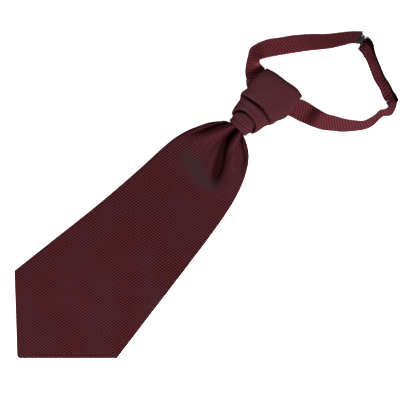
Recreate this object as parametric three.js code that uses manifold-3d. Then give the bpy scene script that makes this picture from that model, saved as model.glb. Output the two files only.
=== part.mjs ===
// A pre-tied silk cravat, laid face up on a flat surface: a wide blade cut on the bias with a square tip,
// pleated into a small ring, a wrap and a trapezoid knot, and an adjustable neckband closed by a hook.
// Millimetres. While it is built, the tip of the blade is at X 0, Y 0, +Y runs along the blade to the
// neckband, +X is to the right seen from above, and the surface it lies on is Z 0.
import * as THREE from "three";
import { mergeVertices } from "three/addons/utils/BufferGeometryUtils.js";
import Module from "manifold-3d";

const wasm = await Module();
wasm.setup();

// Thickness of the folded cloth: silk, interlining and the turned-in silk pressed together.
const BLADE_THICK = 2.2;
const WRAP_THICK = 1.6;
const BODY_THICK = 1.8;
const STRAP_THICK = 1.6;
const STRAP_WIDTH = 19.6;
// Air left between two pieces that touch. A wall's edges are rounded by a share of its thickness, and by
// at most a share of the way to the next row.
const SEAM = 0.3;
const MERGE_WITHIN = 1e-4;
const EDGE_ROUND = 0.4;
const EDGE_MOST = 0.4;

// The blade: its two lower corners, and then its side edges from there to inside the ring.
const LEFT_CORNER = { x: -64, y: 60 };
const RIGHT_CORNER = { x: 70.6, y: 70.6 };
const TIP_START = 1.5;
const LEFT_SIDE = [
  { y: 60, x: -64 },
  { y: 110, x: -58.2 },
  { y: 170, x: -51.4 },
  { y: 225, x: -47.4 },
  { y: 250, x: -46.4 },
  { y: 268, x: -44.6 },
  { y: 282, x: -40.9 },
  { y: 294, x: -35.8 },
  { y: 304, x: -30.6 },
  { y: 311, x: -25 },
  { y: 316, x: -20.4 },
  { y: 318, x: -16.4 },
  { y: 323, x: -15.2 },
  { y: 337, x: -15.2 },
];
const RIGHT_SIDE = [
  { y: 70.6, x: 70.6 },
  { y: 120, x: 64 },
  { y: 180, x: 56.2 },
  { y: 225, x: 49.9 },
  { y: 250, x: 45.6 },
  { y: 268, x: 41.2 },
  { y: 282, x: 36.4 },
  { y: 294, x: 30.6 },
  { y: 304, x: 23.8 },
  { y: 311, x: 16.4 },
  { y: 316, x: 7.6 },
  { y: 318, x: 2.4 },
  { y: 323, x: 1.2 },
  { y: 337, x: 1.2 },
];
// The blade's middle, where its back seam runs.
const MIDDLE = [
  { y: 0, x: 0 },
  { y: 110, x: 3 },
  { y: 225, x: 1.2 },
  { y: 304, x: -3.4 },
  { y: 323, x: -7 },
  { y: 337, x: -7 },
];
const BLADE_STATIONS = [
  TIP_START, 30, 60, 70.6, 115, 165, 210, 232, 246, 258, 268, 276, 283, 289, 295, 300, 304, 308, 311.5,
  314.5, 317, 319.2, 323, 329, 335,
];
// How the gather rises out of the flat blade. square is the exponent of its rounded section, and foot is
// the height of its side edges, which the ring lifts off the surface.
const GATHER = [
  { y: 232, rise: 0, square: 7, foot: 0 },
  { y: 250, rise: 1.3, square: 6, foot: 0 },
  { y: 266, rise: 3.6, square: 5, foot: 0 },
  { y: 282, rise: 6.8, square: 4, foot: 0 },
  { y: 296, rise: 9.4, square: 3.2, foot: 0 },
  { y: 308, rise: 11.2, square: 2.7, foot: 0 },
  { y: 316, rise: 10.2, square: 2.5, foot: 1 },
  { y: 318.4, rise: 9, square: 2.4, foot: 2 },
  { y: 337, rise: 9.2, square: 2.4, foot: 2 },
];
// Each pleat runs from the ring to where it fades out: its place at the ring, at its bend and at its end,
// its height there (a trough is negative) and its half width W at the ring and at its end.
const PLEATS = {
  dip: { ringX: -6.2, bendY: 297, bendX: -1, fadeY: 256, fadeX: 23, high: -7.2, ringW: 2, endW: 9 },
  dipLeft: { ringX: -14.6, bendY: 303, bendX: -26.6, fadeY: 280, fadeX: -38, high: -3, ringW: 1.2, endW: 4 },
  dipRight: { ringX: 0.6, bendY: 309, bendX: 10.5, fadeY: 286, fadeX: 31, high: -2.8, ringW: 1, endW: 3.5 },
  ridgeLeft: { ringX: -11.5, bendY: 300, bendX: -18.5, fadeY: 262, fadeX: -26, high: 2, ringW: 2.6, endW: 9 },
  ridgeRight: { ringX: -2.4, bendY: 297, bendX: 13.5, fadeY: 262, fadeX: 34, high: 1.8, ringW: 2.4, endW: 9 },
  middle: { ringX: -9.6, bendY: 300, bendX: -10.5, fadeY: 272, fadeX: -9, high: -1.7, ringW: 1, endW: 4 },
  left: { ringX: -16.4, bendY: 300, bendX: -31, fadeY: 262, fadeX: -42, high: -1, ringW: 1, endW: 4 },
};
const PLEAT_RING_Y = 319;
// A pleat narrows with this power of its length, and keeps its depth where the crown is over one over this.
const PLEAT_NARROWING = 0.7;
const PLEAT_HOLD = 1.2;
// On the pleats' steep sides the inner face lies this share of the thickness sideways, and at least this
// share of it down.
const SIDE_SHARE = 0.8;
const LEAST_DROP = 0.35;
// Points across each half of the blade, crowded towards its edge, and the slit at the back where its
// turned-in edges meet.
const BLADE_HALF_STEPS = 18;
const BLADE_CROWDING = 0.55;
const BACK_SEAM = { half: 0.6, most: 0.4, deep: 0.9, toY: 300 };

// The ring and the wrap are tubes of cloth round the blade: half width and top height along Y. Their
// section is a rounded square, cut flat this far above its lowest point, where it rests.
const TUBE_X = -7;
const TUBE_SQUARE = 2.6;
const TUBE_FLAT = 0.8;
const RING_STEPS = { along: 4, round: 32 };
const RING = [
  { y: 318.2, half: 11.3, top: 16.2 },
  { y: 324, half: 12, top: 16.8 },
  { y: 331, half: 14, top: 17 },
  { y: 339, half: 14.6, top: 17 },
];
const WRAP_STEPS = { along: 6, round: 36 };
const WRAP = [
  { y: 323.8, half: 13.9, top: 19 },
  { y: 327, half: 15.8, top: 19.2 },
  { y: 331, half: 17, top: 19.6 },
  { y: 336, half: 17.8, top: 20.2 },
  { y: 341, half: 18.9, top: 21 },
  { y: 345, half: 21.8, top: 21.6 },
  { y: 351, half: 22.4, top: 21.6 },
];
// The wrap's lower lip is an arch: highest on top, lower down each side, and behind the ring underneath.
// Underneath it goes back between two heights of its section, given as the cosine of the turn.
const WRAP_LIP = { topY: 336.2, sideY: 323.8, underY: 339.5, endY: 350.6, arch: 1.3 };
const WRAP_UNDER = { from: 0.2, to: 0.5 };

// The knot's body is a loop of cloth over the neckband: it is open at the left and right, and its back
// lies on the surface. Its flanks, and the line of its top edge, seen from above.
const BODY_LEFT = [
  { y: 346, x: -29.4 },
  { y: 353, x: -28.6 },
  { y: 362, x: -30.2 },
  { y: 372, x: -29.6 },
  { y: 389, x: -28.6 },
];
const BODY_RIGHT = [
  { y: 346, x: 15.6 },
  { y: 354, x: 17.6 },
  { y: 361, x: 20 },
  { y: 370, x: 18 },
  { y: 380, x: 16.8 },
  { y: 389, x: 16.4 },
];
const BODY_FRONT_LIP = [
  { u: 0, y: 345.4 },
  { u: 0.22, y: 347.6 },
  { u: 0.45, y: 350 },
  { u: 0.7, y: 349.8 },
  { u: 1, y: 346.2 },
];
const BODY_TOP_EDGE = [
  { u: 0, y: 381.4 },
  { u: 0.2, y: 384.2 },
  { u: 0.5, y: 386.2 },
  { u: 0.8, y: 388.4 },
  { u: 1, y: 387 },
];
// The section of its front, from the lip to the top edge: share is how far along it a point is, ahead is
// what is added to that in millimetres, and drop is how far it lies below the crown.
const BODY_FRONT = [
  { share: 0, ahead: 0, drop: 1.5 },
  { share: 0, ahead: 1.6, drop: 0.5 },
  { share: 0.2, ahead: 0, drop: 0 },
  { share: 0.5, ahead: 0, drop: -0.3 },
  { share: 0.8, ahead: 0, drop: 0 },
  { share: 1, ahead: -3.2, drop: 0.7 },
  { share: 1, ahead: -0.9, drop: 2.2 },
  { share: 1, ahead: 0, drop: 4.6 },
];
// The section of its back, from the top edge (share 0) down to the surface and along it to its end.
const BODY_BACK = [
  { share: 0, ahead: 0, z: 11.5 },
  { share: 0, ahead: -0.4, z: 3.4 },
  { share: 0, ahead: -1.6, z: 1.1 },
  { share: 0, ahead: -4, z: 0 },
  { share: 0.55, ahead: 0, z: 0 },
  { share: 1, ahead: 0, z: 0 },
];
const BODY_HIGH = 24.6;
const BODY_BACK_END = 354;
const BODY_CROWN = { drop: 3.4, square: 3.4 };
const BODY_ACROSS = 14;

// The knot's hidden layers share one rounded solid, with the edge of one layer out at the left flank.
const CORE = { left: -26, right: 13.2, low: 355, high: 381, under: 2.2, over: 19.6 };
const CORE_ROUND = { corner: 5, bevel: 3, bevelSteps: 3, cornerSteps: 4 };
const SIDE_LAYER = { x: -26.3, low: 353.4, high: 364.6, under: 16.2, thick: 1.6, steps: 6 };
const SIDE_LAYER_TIP = { x: -34.8, y: 358.8, bendX: -32.8, bend: 1 };

// The neckband's stretches: their outer and inner edges seen from above, and the height of the outer
// edge. The inner edge stands higher by what the strap's width leaves.
const LEFT_STRAP = [
  { outX: -26.5, outY: 354.6, inX: -26.5, inY: 377.4, lift: 8.6 },
  { outX: -34, outY: 358.6, inX: -30, inY: 380.2, lift: 7.6 },
  { outX: -40, outY: 362.8, inX: -34.4, inY: 380.4, lift: 5.4 },
  { outX: -45.2, outY: 369.8, inX: -37.2, inY: 381, lift: 2.8 },
  { outX: -50, outY: 377.2, inX: -38.6, inY: 382.2, lift: 0.8 },
  { outX: -53.2, outY: 382.6, inX: -38.6, inY: 383.5, lift: 0 },
  { outX: -54, outY: 387, inX: -38.1, inY: 384.7, lift: 0 },
  { outX: -53, outY: 391.2, inX: -37.4, inY: 386, lift: 0 },
  { outX: -51, outY: 396.8, inX: -36.2, inY: 388.2, lift: 0 },
  { outX: -48.2, outY: 403, inX: -34, inY: 391.8, lift: 0 },
  { outX: -41.4, outY: 412, inX: -27.8, inY: 400.4, lift: 0 },
  { outX: -32.3, outY: 424.9, inX: -18.4, inY: 413.4, lift: 0 },
  { outX: -21.3, outY: 437.1, inX: -8.8, inY: 425.8, lift: 0 },
  { outX: -9.3, outY: 449.1, inX: 3.2, inY: 440.6, lift: 0 },
  { outX: -1.3, outY: 458.9, inX: 10.2, inY: 451.6, lift: 0 },
  { outX: 6.4, outY: 468.2, inX: 14.2, inY: 458.3, lift: 0 },
  { outX: 12, outY: 473.8, inX: 15.6, inY: 461.2, lift: 0 },
];
const RIGHT_STRAP = [
  { outX: 13.8, outY: 361.4, inX: 13.8, inY: 381.4, lift: 8.5 },
  { outX: 21.6, outY: 364.2, inX: 19, inY: 385, lift: 6.8 },
  { outX: 30, outY: 366.8, inX: 25.2, inY: 387.2, lift: 3 },
  { outX: 38, outY: 369.8, inX: 32.6, inY: 388.8, lift: 2.6 },
  { outX: 46, outY: 373, inX: 39.6, inY: 390.6, lift: 4.4 },
  { outX: 54, outY: 377.8, inX: 46.6, inY: 392.8, lift: 1.4 },
  { outX: 62, outY: 384.6, inX: 54, inY: 397.2, lift: 0 },
  { outX: 70, outY: 392.2, inX: 61.8, inY: 401.4, lift: 0 },
  { outX: 78, outY: 401.8, inX: 70.4, inY: 407.6, lift: 0 },
  { outX: 83.4, outY: 409.6, inX: 76, inY: 412.6, lift: 0 },
  { outX: 86, outY: 418, inX: 79, inY: 420.4, lift: 0 },
  { outX: 86, outY: 425.4, inX: 80.2, inY: 427, lift: 0 },
  { outX: 86.8, outY: 431.2, inX: 80.2, inY: 431.8, lift: 0 },
  { outX: 91.4, outY: 437.2, inX: 82.8, inY: 435.8, lift: 0.4 },
  { outX: 91, outY: 442.6, inX: 83.8, inY: 438.4, lift: 0.8 },
  { outX: 86.6, outY: 448.3, inX: 84, inY: 440.5, lift: 1.2 },
];
// The doubled stretch runs from the slider to the hook and folds back there over the hook's bar.
const RETURN_STRAP = [
  { outX: 81.5, outY: 451.1, inX: 79, inY: 441.2, lift: 1.5 },
  { outX: 76.4, outY: 452.8, inX: 73.4, inY: 442.6, lift: 0.6 },
  { outX: 69.6, outY: 455.2, inX: 66.4, inY: 445.6, lift: 0 },
  { outX: 59.6, outY: 457.4, inX: 56.2, inY: 448, lift: 0 },
  { outX: 49.6, outY: 461.4, inX: 45.6, inY: 452.4, lift: 0 },
  { outX: 41.6, outY: 464.8, inX: 37, inY: 456.2, lift: 0 },
  { outX: 33.7, outY: 469, inX: 29.6, inY: 458.2, lift: 0 },
  { outX: 28.6, outY: 472.2, inX: 28, inY: 458.6, lift: 0.8 },
  { outX: 23, outY: 472.8, inX: 24.8, inY: 458.6, lift: 1.6 },
];
const STRAP_ACROSS = 4;
// The fold holds the hook's bar: how far apart the layers' faces are there, and its steps.
const FOLD_BAR = 1.5;
const FOLD_OPEN = 2 * STRAP_THICK + FOLD_BAR + 2 * SEAM;
const FOLD_STEPS = 4;

// Metal: the hook with its bar, the eye on the left strap's end and the slider at the far right.
const METAL_THICK = 1.2;
const METAL_STEPS = 3;
const LOOP_CORNER = { outer: 0.9, inner: 0.36 };
const EYE = { long: 15, wide: 4.6, wire: 1, away: 0.4 };
const HOOK = { long: 23.4, wire: 1.2, rooted: 0.2 };
const TONGUE = { wide: 4.4, shift: 1, reach: 7.35, climb: 1.5, curl: 1.4, tail: 1 };
const SLIDER = { long: 23.2, wide: 4.2, wire: 1.3 };

const SILK = { color: 0x4a1e26, roughness: 0.5, metalness: 0, side: THREE.FrontSide };
const KNOT_SILK = { color: 0x55252e, roughness: 0.5, metalness: 0, side: THREE.FrontSide };
const STRAP_SILK = { color: 0x5f2a33, roughness: 0.5, metalness: 0, side: THREE.FrontSide };
const METAL = { color: 0x2b2b2e, roughness: 0.35, metalness: 0.9, side: THREE.FrontSide };

const { clamp, lerp, smoothstep } = THREE.MathUtils;

// A smooth curve through one column of a table, against another column.
function curveOf(rows, along, column) {
  const places = rows.map((row) => row[along]);
  const values = rows.map((row) => row[column]);
  const spline = new THREE.CubicInterpolant(places, values, 1, new Float64Array(1));
  return (where) => spline.evaluate(clamp(where, places[0], places.at(-1)))[0];
}

// The unit normals of a grid of points: columns crossed with rows.
function gridNormals(grid, closed) {
  const columns = grid[0].length;
  return grid.map((row, i) =>
    row.map((_, j) => {
      const back = grid[Math.max(i - 1, 0)][j];
      const ahead = grid[Math.min(i + 1, grid.length - 1)][j];
      const left = closed ? row[(j + columns - 1) % columns] : row[Math.max(j - 1, 0)];
      const right = closed ? row[(j + 1) % columns] : row[Math.min(j + 1, columns - 1)];
      const across = right.clone().sub(left);
      return across.cross(ahead.clone().sub(back)).normalize();
    }),
  );
}

// Points of a grid's border, once round, in the same turning sense as its faces.
function borderOf(rows, columns) {
  const count = (steps, at) => Array.from({ length: steps }, (_, k) => at(k));
  return [
    ...count(columns - 1, (k) => [0, k]),
    ...count(rows - 1, (k) => [k, columns - 1]),
    ...count(columns - 1, (k) => [rows - 1, columns - 1 - k]),
    ...count(rows - 1, (k) => [rows - 1 - k, 0]),
  ];
}

// A wall of cloth under a grid of points: its face, its inner face, and rounded edges where it ends.
// With closed set, its columns run round a tube. sink gives the inner point for an outer one.
function clothWall(outer, thick, { closed = false, sink = null } = {}) {
  const rows = outer.length;
  const columns = outer[0].length;
  const normals = gridNormals(outer, closed);
  const inner = outer.map((row, i) =>
    row.map((point, j) => {
      const normal = normals[i][j];
      const moved = sink ? sink(point, normal, i, j) : point.clone().addScaledVector(normal, -thick);
      moved.z = Math.max(moved.z, 0);
      return moved;
    }),
  );
  const positions = [];
  const faces = [];
  const put = (point) => positions.push(point.x, point.y, point.z) / 3 - 1;
  const quad = (a, b, c, d) => faces.push(a, b, c, a, c, d);
  const round = (layer, i, j) => {
    const point = layer[i][j].clone();
    const pull = new THREE.Vector3();
    const reach = (ni, nj) => {
      const way = layer[ni][nj].clone().sub(layer[i][j]);
      const length = way.length();
      if (length > 0) {
        pull.addScaledVector(way, Math.min(EDGE_ROUND * thick, EDGE_MOST * length) / length);
      }
    };
    if (i === 0) {
      reach(1, j);
    }
    if (i === rows - 1) {
      reach(rows - 2, j);
    }
    if (!closed && j === 0) {
      reach(i, 1);
    }
    if (!closed && j === columns - 1) {
      reach(i, columns - 2);
    }
    return point.add(pull);
  };
  const outerAt = outer.map((row, i) => row.map((_, j) => put(round(outer, i, j))));
  const innerAt = inner.map((row, i) => row.map((_, j) => put(round(inner, i, j))));
  const lastColumn = closed ? columns : columns - 1;
  for (let i = 0; i < rows - 1; i += 1) {
    for (let j = 0; j < lastColumn; j += 1) {
      const next = (j + 1) % columns;
      quad(outerAt[i][j], outerAt[i][next], outerAt[i + 1][next], outerAt[i + 1][j]);
      quad(innerAt[i][j], innerAt[i + 1][j], innerAt[i + 1][next], innerAt[i][next]);
    }
  }
  const loops = closed
    ? [
        Array.from({ length: columns }, (_, j) => [0, j]),
        Array.from({ length: columns }, (_, j) => [rows - 1, columns - 1 - j]),
      ]
    : [borderOf(rows, columns)];
  for (const loop of loops) {
    const middle = loop.map(([i, j]) => put(outer[i][j].clone().lerp(inner[i][j], 0.5)));
    loop.forEach(([i, j], k) => {
      const after = (k + 1) % loop.length;
      const [ni, nj] = loop[after];
      quad(outerAt[ni][nj], outerAt[i][j], middle[k], middle[after]);
      quad(middle[after], middle[k], innerAt[i][j], innerAt[ni][nj]);
    });
  }
  return new THREE.BufferGeometry()
    .setAttribute("position", new THREE.Float32BufferAttribute(positions, 3))
    .setIndex(faces);
}

function namedMesh(name, geometry, finish) {
  geometry.computeVertexNormals();
  const mesh = new THREE.Mesh(geometry, new THREE.MeshStandardMaterial(finish));
  mesh.name = name;
  return mesh;
}

const leftSide = curveOf(LEFT_SIDE, "y", "x");
const rightSide = curveOf(RIGHT_SIDE, "y", "x");
const bladeMiddle = curveOf(MIDDLE, "y", "x");
const rise = curveOf(GATHER, "y", "rise");
const square = curveOf(GATHER, "y", "square");
const foot = curveOf(GATHER, "y", "foot");

function bladeLeft(y) {
  return y < LEFT_CORNER.y ? (y / LEFT_CORNER.y) * LEFT_CORNER.x : leftSide(y);
}

function bladeRight(y) {
  return y < RIGHT_CORNER.y ? (y / RIGHT_CORNER.y) * RIGHT_CORNER.x : rightSide(y);
}

// How far the pleats move the gather's surface up at one place.
function pleatHeight(x, y) {
  let sum = 0;
  for (const pleat of Object.values(PLEATS).filter(({ fadeY }) => y > fadeY)) {
    const place = curveOf(
      [
        { y: pleat.fadeY, x: pleat.fadeX },
        { y: pleat.bendY, x: pleat.bendX },
        { y: PLEAT_RING_Y, x: pleat.ringX },
      ],
      "y",
      "x",
    )(y);
    const along = clamp((y - pleat.fadeY) / (PLEAT_RING_Y - pleat.fadeY), 0, 1);
    const half = lerp(pleat.endW, pleat.ringW, along ** PLEAT_NARROWING);
    const strength = smoothstep(y, pleat.fadeY, pleat.bendY);
    sum += pleat.high * strength * Math.exp(-(((x - place) / half) ** 2));
  }
  return sum;
}

// The height of the blade's upper face. across runs from -1 at its left edge to 1 at its right edge.
function bladeTop(x, y, across) {
  const crown = (1 - Math.abs(across) ** square(y)) ** (1 / square(y));
  const folded = pleatHeight(x, y) * Math.min(1, crown * PLEAT_HOLD);
  return BLADE_THICK + foot(y) + Math.max(0, rise(y) * crown + folded);
}

// Where the blade's columns stand from its middle (0) to an edge (1): closer together at the edge, with one
// at the back seam's edge.
function halfColumns(halfWidth) {
  const steps = Array.from({ length: BLADE_HALF_STEPS }, (_, k) => {
    const even = (k + 1) / BLADE_HALF_STEPS;
    return lerp(even, Math.sin((even * Math.PI) / 2), BLADE_CROWDING);
  });
  return [Math.min(BACK_SEAM.half / halfWidth, BACK_SEAM.most * steps[0]), ...steps];
}

function bladeGeometry() {
  const grid = BLADE_STATIONS.map((y) => {
    const middle = bladeMiddle(y);
    const left = halfColumns(middle - bladeLeft(y)).reverse().map((share) => -share);
    const right = halfColumns(bladeRight(y) - middle);
    return [...left, 0, ...right].map((across) => {
      const edge = across < 0 ? bladeLeft(y) : bladeRight(y);
      const x = lerp(middle, edge, Math.abs(across));
      return new THREE.Vector3(x, y, bladeTop(x, y, across));
    });
  });
  const seamColumn = BLADE_HALF_STEPS + 1;
  const sink = (point, normal, i, j) => {
    const seam = j === seamColumn && i > 0 && point.y < BACK_SEAM.toY ? BACK_SEAM.deep : 0;
    const under = point.clone();
    under.x -= normal.x * BLADE_THICK * SIDE_SHARE;
    under.z -= BLADE_THICK * Math.max(normal.z, LEAST_DROP);
    under.z = Math.max(under.z, foot(point.y)) + seam;
    return under;
  };
  return clothWall(grid, BLADE_THICK, { sink });
}

// One place on a tube of cloth round the blade. turn 0 is its top, and it is flat where it rests.
function tubePoint(half, top, turn, y) {
  const side = Math.sin(turn);
  const up = Math.cos(turn);
  const power = 2 / TUBE_SQUARE;
  const high = (top + TUBE_FLAT) / 2;
  const z = top - high + high * Math.sign(up) * Math.abs(up) ** power;
  return new THREE.Vector3(TUBE_X + half * Math.sign(side) * Math.abs(side) ** power, y, Math.max(0, z));
}

function tubeGeometry(rows, thick, steps, placeY) {
  const half = curveOf(rows, "y", "half");
  const top = curveOf(rows, "y", "top");
  const grid = Array.from({ length: steps.along + 1 }, (_, i) =>
    Array.from({ length: steps.round }, (_, j) => {
      const turn = (2 * Math.PI * j) / steps.round - Math.PI;
      const y = placeY(i / steps.along, turn);
      return tubePoint(half(y), top(y), turn, y);
    }),
  );
  return clothWall(grid, thick, {
    closed: true,
    sink: (point, normal) => {
      const moved = point.clone().addScaledVector(normal, -thick);
      moved.z = Math.max(moved.z, thick);
      return moved;
    },
  });
}

function ringGeometry() {
  const first = RING[0].y;
  const last = RING.at(-1).y;
  return tubeGeometry(RING, WRAP_THICK, RING_STEPS, (along) => lerp(first, last, along));
}

function wrapGeometry() {
  const { topY, sideY, underY, endY, arch } = WRAP_LIP;
  const { from, to } = WRAP_UNDER;
  return tubeGeometry(WRAP, WRAP_THICK, WRAP_STEPS, (along, turn) => {
    const up = Math.cos(turn);
    const above = Math.max(up, 0) ** arch;
    const lip = lerp(sideY, topY, above) + (underY - sideY) * smoothstep(-up, from, to);
    return lerp(lip, endY, along);
  });
}

// The body's path from its front lip over the top edge to its back, in Y and Z, for one place across it.
function bodyPath(u) {
  const lip = curveOf(BODY_FRONT_LIP, "u", "y")(u);
  const edge = curveOf(BODY_TOP_EDGE, "u", "y")(u);
  const high = BODY_HIGH - BODY_CROWN.drop * Math.abs(2 * u - 1) ** BODY_CROWN.square;
  return [
    ...BODY_FRONT.map(({ share, ahead, drop }) => ({ y: lerp(lip, edge, share) + ahead, z: high - drop })),
    ...BODY_BACK.map(({ share, ahead, z }) => ({ y: lerp(edge, BODY_BACK_END, share) + ahead, z })),
  ];
}

function bodyGeometry() {
  const left = curveOf(BODY_LEFT, "y", "x");
  const right = curveOf(BODY_RIGHT, "y", "x");
  const columns = Array.from({ length: BODY_ACROSS + 1 }, (_, j) => {
    const u = j / BODY_ACROSS;
    return bodyPath(u).map(({ y, z }) => new THREE.Vector3(lerp(left(y), right(y), u), y, z));
  });
  const grid = columns[0].map((_, i) => columns.map((column) => column[i]));
  return clothWall(grid, BODY_THICK);
}

// Draws a rounded rectangle from its low corner to its high corner.
function roundedOutline(path, low, high, corner) {
  path.moveTo(low.x + corner, low.y);
  path.lineTo(high.x - corner, low.y);
  path.quadraticCurveTo(high.x, low.y, high.x, low.y + corner);
  path.lineTo(high.x, high.y - corner);
  path.quadraticCurveTo(high.x, high.y, high.x - corner, high.y);
  path.lineTo(low.x + corner, high.y);
  path.quadraticCurveTo(low.x, high.y, low.x, high.y - corner);
  path.lineTo(low.x, low.y + corner);
  path.quadraticCurveTo(low.x, low.y, low.x + corner, low.y);
  return path;
}

// A rounded block: an extruded outline with bevelled edges, as wide and high as the sizes say.
function coreGeometry() {
  const { left, right, low, high, under, over } = CORE;
  const { corner, bevel, bevelSteps, cornerSteps } = CORE_ROUND;
  const shape = roundedOutline(
    new THREE.Shape(),
    { x: left + bevel, y: low + bevel },
    { x: right - bevel, y: high - bevel },
    corner,
  );
  const geometry = new THREE.ExtrudeGeometry(shape, {
    depth: over - under - 2 * bevel,
    bevelThickness: bevel,
    bevelSize: bevel,
    bevelSegments: bevelSteps,
    curveSegments: cornerSteps,
  });
  return geometry.translate(0, 0, under + bevel);
}

// The edge of a hidden layer that stands out at the knot's left flank.
function sideLayerGeometry() {
  const { x, low, high, under, thick, steps } = SIDE_LAYER;
  const tip = SIDE_LAYER_TIP;
  const shape = new THREE.Shape();
  shape.moveTo(x, low);
  shape.lineTo(x, high);
  shape.quadraticCurveTo(tip.bendX, high - tip.bend, tip.x, tip.y);
  shape.quadraticCurveTo(tip.bendX, low + tip.bend, x, low);
  return extruded(shape, thick, steps).translate(0, 0, under + thick / 2);
}

// The strap's frame at each row: the outer and inner edges of its underside, and its upward normal. The
// inner edge stands up by what is left of the strap's width, measured square to its way.
function strapFrames(rows) {
  const flat = rows.map((row) => ({
    outer: new THREE.Vector3(row.outX, row.outY, row.lift),
    inner: new THREE.Vector3(row.inX, row.inY, row.lift),
  }));
  const alongAt = (edges, i) => {
    const back = edges[Math.max(i - 1, 0)];
    const ahead = edges[Math.min(i + 1, edges.length - 1)];
    return ahead.outer.clone().add(ahead.inner).sub(back.outer).sub(back.inner).normalize();
  };
  const edges = flat.map(({ outer, inner }, i) => {
    const along = alongAt(flat, i).setZ(0).normalize();
    const across = inner.clone().sub(outer);
    const square = Math.abs(across.x * along.y - across.y * along.x);
    const stand = Math.sqrt(Math.max(0, STRAP_WIDTH ** 2 - square ** 2));
    return { outer, inner: inner.clone().setZ(inner.z + stand) };
  });
  return edges.map(({ outer, inner }, i) => {
    const along = alongAt(edges, i);
    const normal = inner.clone().sub(outer).cross(along).normalize();
    if (normal.z < 0) normal.negate();
    return { outer, inner, along, normal };
  });
}

// One row of points across a strap, raised off its underside along the normal.
function strapRow(frame, raise, forward = 0) {
  return Array.from({ length: STRAP_ACROSS + 1 }, (_, j) =>
    frame.outer
      .clone()
      .lerp(frame.inner, j / STRAP_ACROSS)
      .addScaledVector(frame.normal, raise)
      .addScaledVector(frame.along, forward),
  );
}

// A single strap's rows run with their outer edge at the left of their way.
function strapGeometry(rows, leftHanded) {
  const frames = strapFrames(rows);
  const grid = frames.map((frame) => strapRow(frame, STRAP_THICK));
  if (!leftHanded) grid.reverse();
  return clothWall(grid, STRAP_THICK);
}

// The doubled strap: its lower layer, the fold round the hook's bar and its upper layer, as one wall.
function returnGeometry() {
  const frames = strapFrames(RETURN_STRAP);
  const last = frames.length - 1;
  const flat = 2 * STRAP_THICK + SEAM;
  const apart = (i) => lerp(flat, FOLD_OPEN, smoothstep(i, last - 2, last));
  const lower = frames.map((frame) => strapRow(frame, 0));
  const fold = Array.from({ length: FOLD_STEPS }, (_, k) => {
    const turn = (Math.PI * (k + 1)) / (FOLD_STEPS + 1);
    const radius = FOLD_OPEN / 2;
    return strapRow(frames[last], radius - radius * Math.cos(turn), radius * Math.sin(turn));
  });
  const upper = frames.map((frame, i) => strapRow(frame, apart(i))).reverse();
  return clothWall([...lower, ...fold, ...upper], STRAP_THICK);
}

// A flat wire loop with rounded corners, its middle at the origin, long across and wide along.
function loopShape(long, wide, wire) {
  const outline = (path, inset, corner) => {
    const far = { x: long / 2 - inset, y: wide / 2 - inset };
    return roundedOutline(path, { x: -far.x, y: -far.y }, far, corner);
  };
  const shape = outline(new THREE.Shape(), 0, wire * LOOP_CORNER.outer);
  shape.holes.push(outline(new THREE.Path(), wire, wire * LOOP_CORNER.inner));
  return shape;
}

// An extruded outline, with its middle at the surface.
function extruded(shape, thick, curveSegments) {
  const geometry = new THREE.ExtrudeGeometry(shape, { depth: thick, bevelEnabled: false, curveSegments });
  return geometry.translate(0, 0, -thick / 2);
}

// Places a metal piece on a strap's end: X across the strap, Y along its way and Z out of its face.
function onStrapEnd(frame, forward, raise) {
  const across = frame.inner.clone().sub(frame.outer).normalize();
  const along = frame.normal.clone().cross(across).normalize();
  if (along.dot(frame.along) < 0) {
    across.negate();
    along.negate();
  }
  const middle = frame.outer.clone().lerp(frame.inner, 0.5);
  middle.addScaledVector(along, forward).addScaledVector(frame.normal, raise);
  return new THREE.Matrix4().makeBasis(across, along, frame.normal).setPosition(middle);
}

function solidOf(geometry) {
  geometry.deleteAttribute("normal");
  geometry.deleteAttribute("uv");
  const merged = mergeVertices(geometry, MERGE_WITHIN);
  return new wasm.Manifold(
    new wasm.Mesh({
      numProp: 3,
      vertProperties: merged.attributes.position.array,
      triVerts: new Uint32Array(merged.index.array),
    }),
  );
}

function geometryOf(solid) {
  const mesh = solid.getMesh();
  return new THREE.BufferGeometry()
    .setAttribute("position", new THREE.BufferAttribute(new Float32Array(mesh.vertProperties), 3))
    .setIndex(new THREE.BufferAttribute(new Uint32Array(mesh.triVerts), 1));
}

function loopGeometry({ long, wide, wire }) {
  return extruded(loopShape(long, wide, wire), METAL_THICK, METAL_STEPS);
}

function eyeGeometry() {
  const end = strapFrames(LEFT_STRAP).at(-1);
  return loopGeometry(EYE).applyMatrix4(onStrapEnd(end, EYE.away + EYE.wide / 2, STRAP_THICK / 2));
}

// The tongue's section: it runs on from the loop and curls over the eye's bar, in its way and its height.
function tongueShape(start) {
  const { reach, climb, curl, tail } = TONGUE;
  const half = METAL_THICK / 2;
  const outside = curl + METAL_THICK;
  const shape = new THREE.Shape();
  shape.moveTo(start, -half);
  shape.lineTo(start, half);
  shape.lineTo(reach, climb + outside);
  shape.absarc(reach, climb, outside, Math.PI / 2, -Math.PI / 2, true);
  shape.lineTo(reach - tail, climb - outside);
  shape.lineTo(reach - tail, climb - curl);
  shape.lineTo(reach, climb - curl);
  shape.absarc(reach, climb, curl, -Math.PI / 2, Math.PI / 2, false);
  shape.lineTo(start + HOOK.wire, -half);
  return shape;
}

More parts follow.
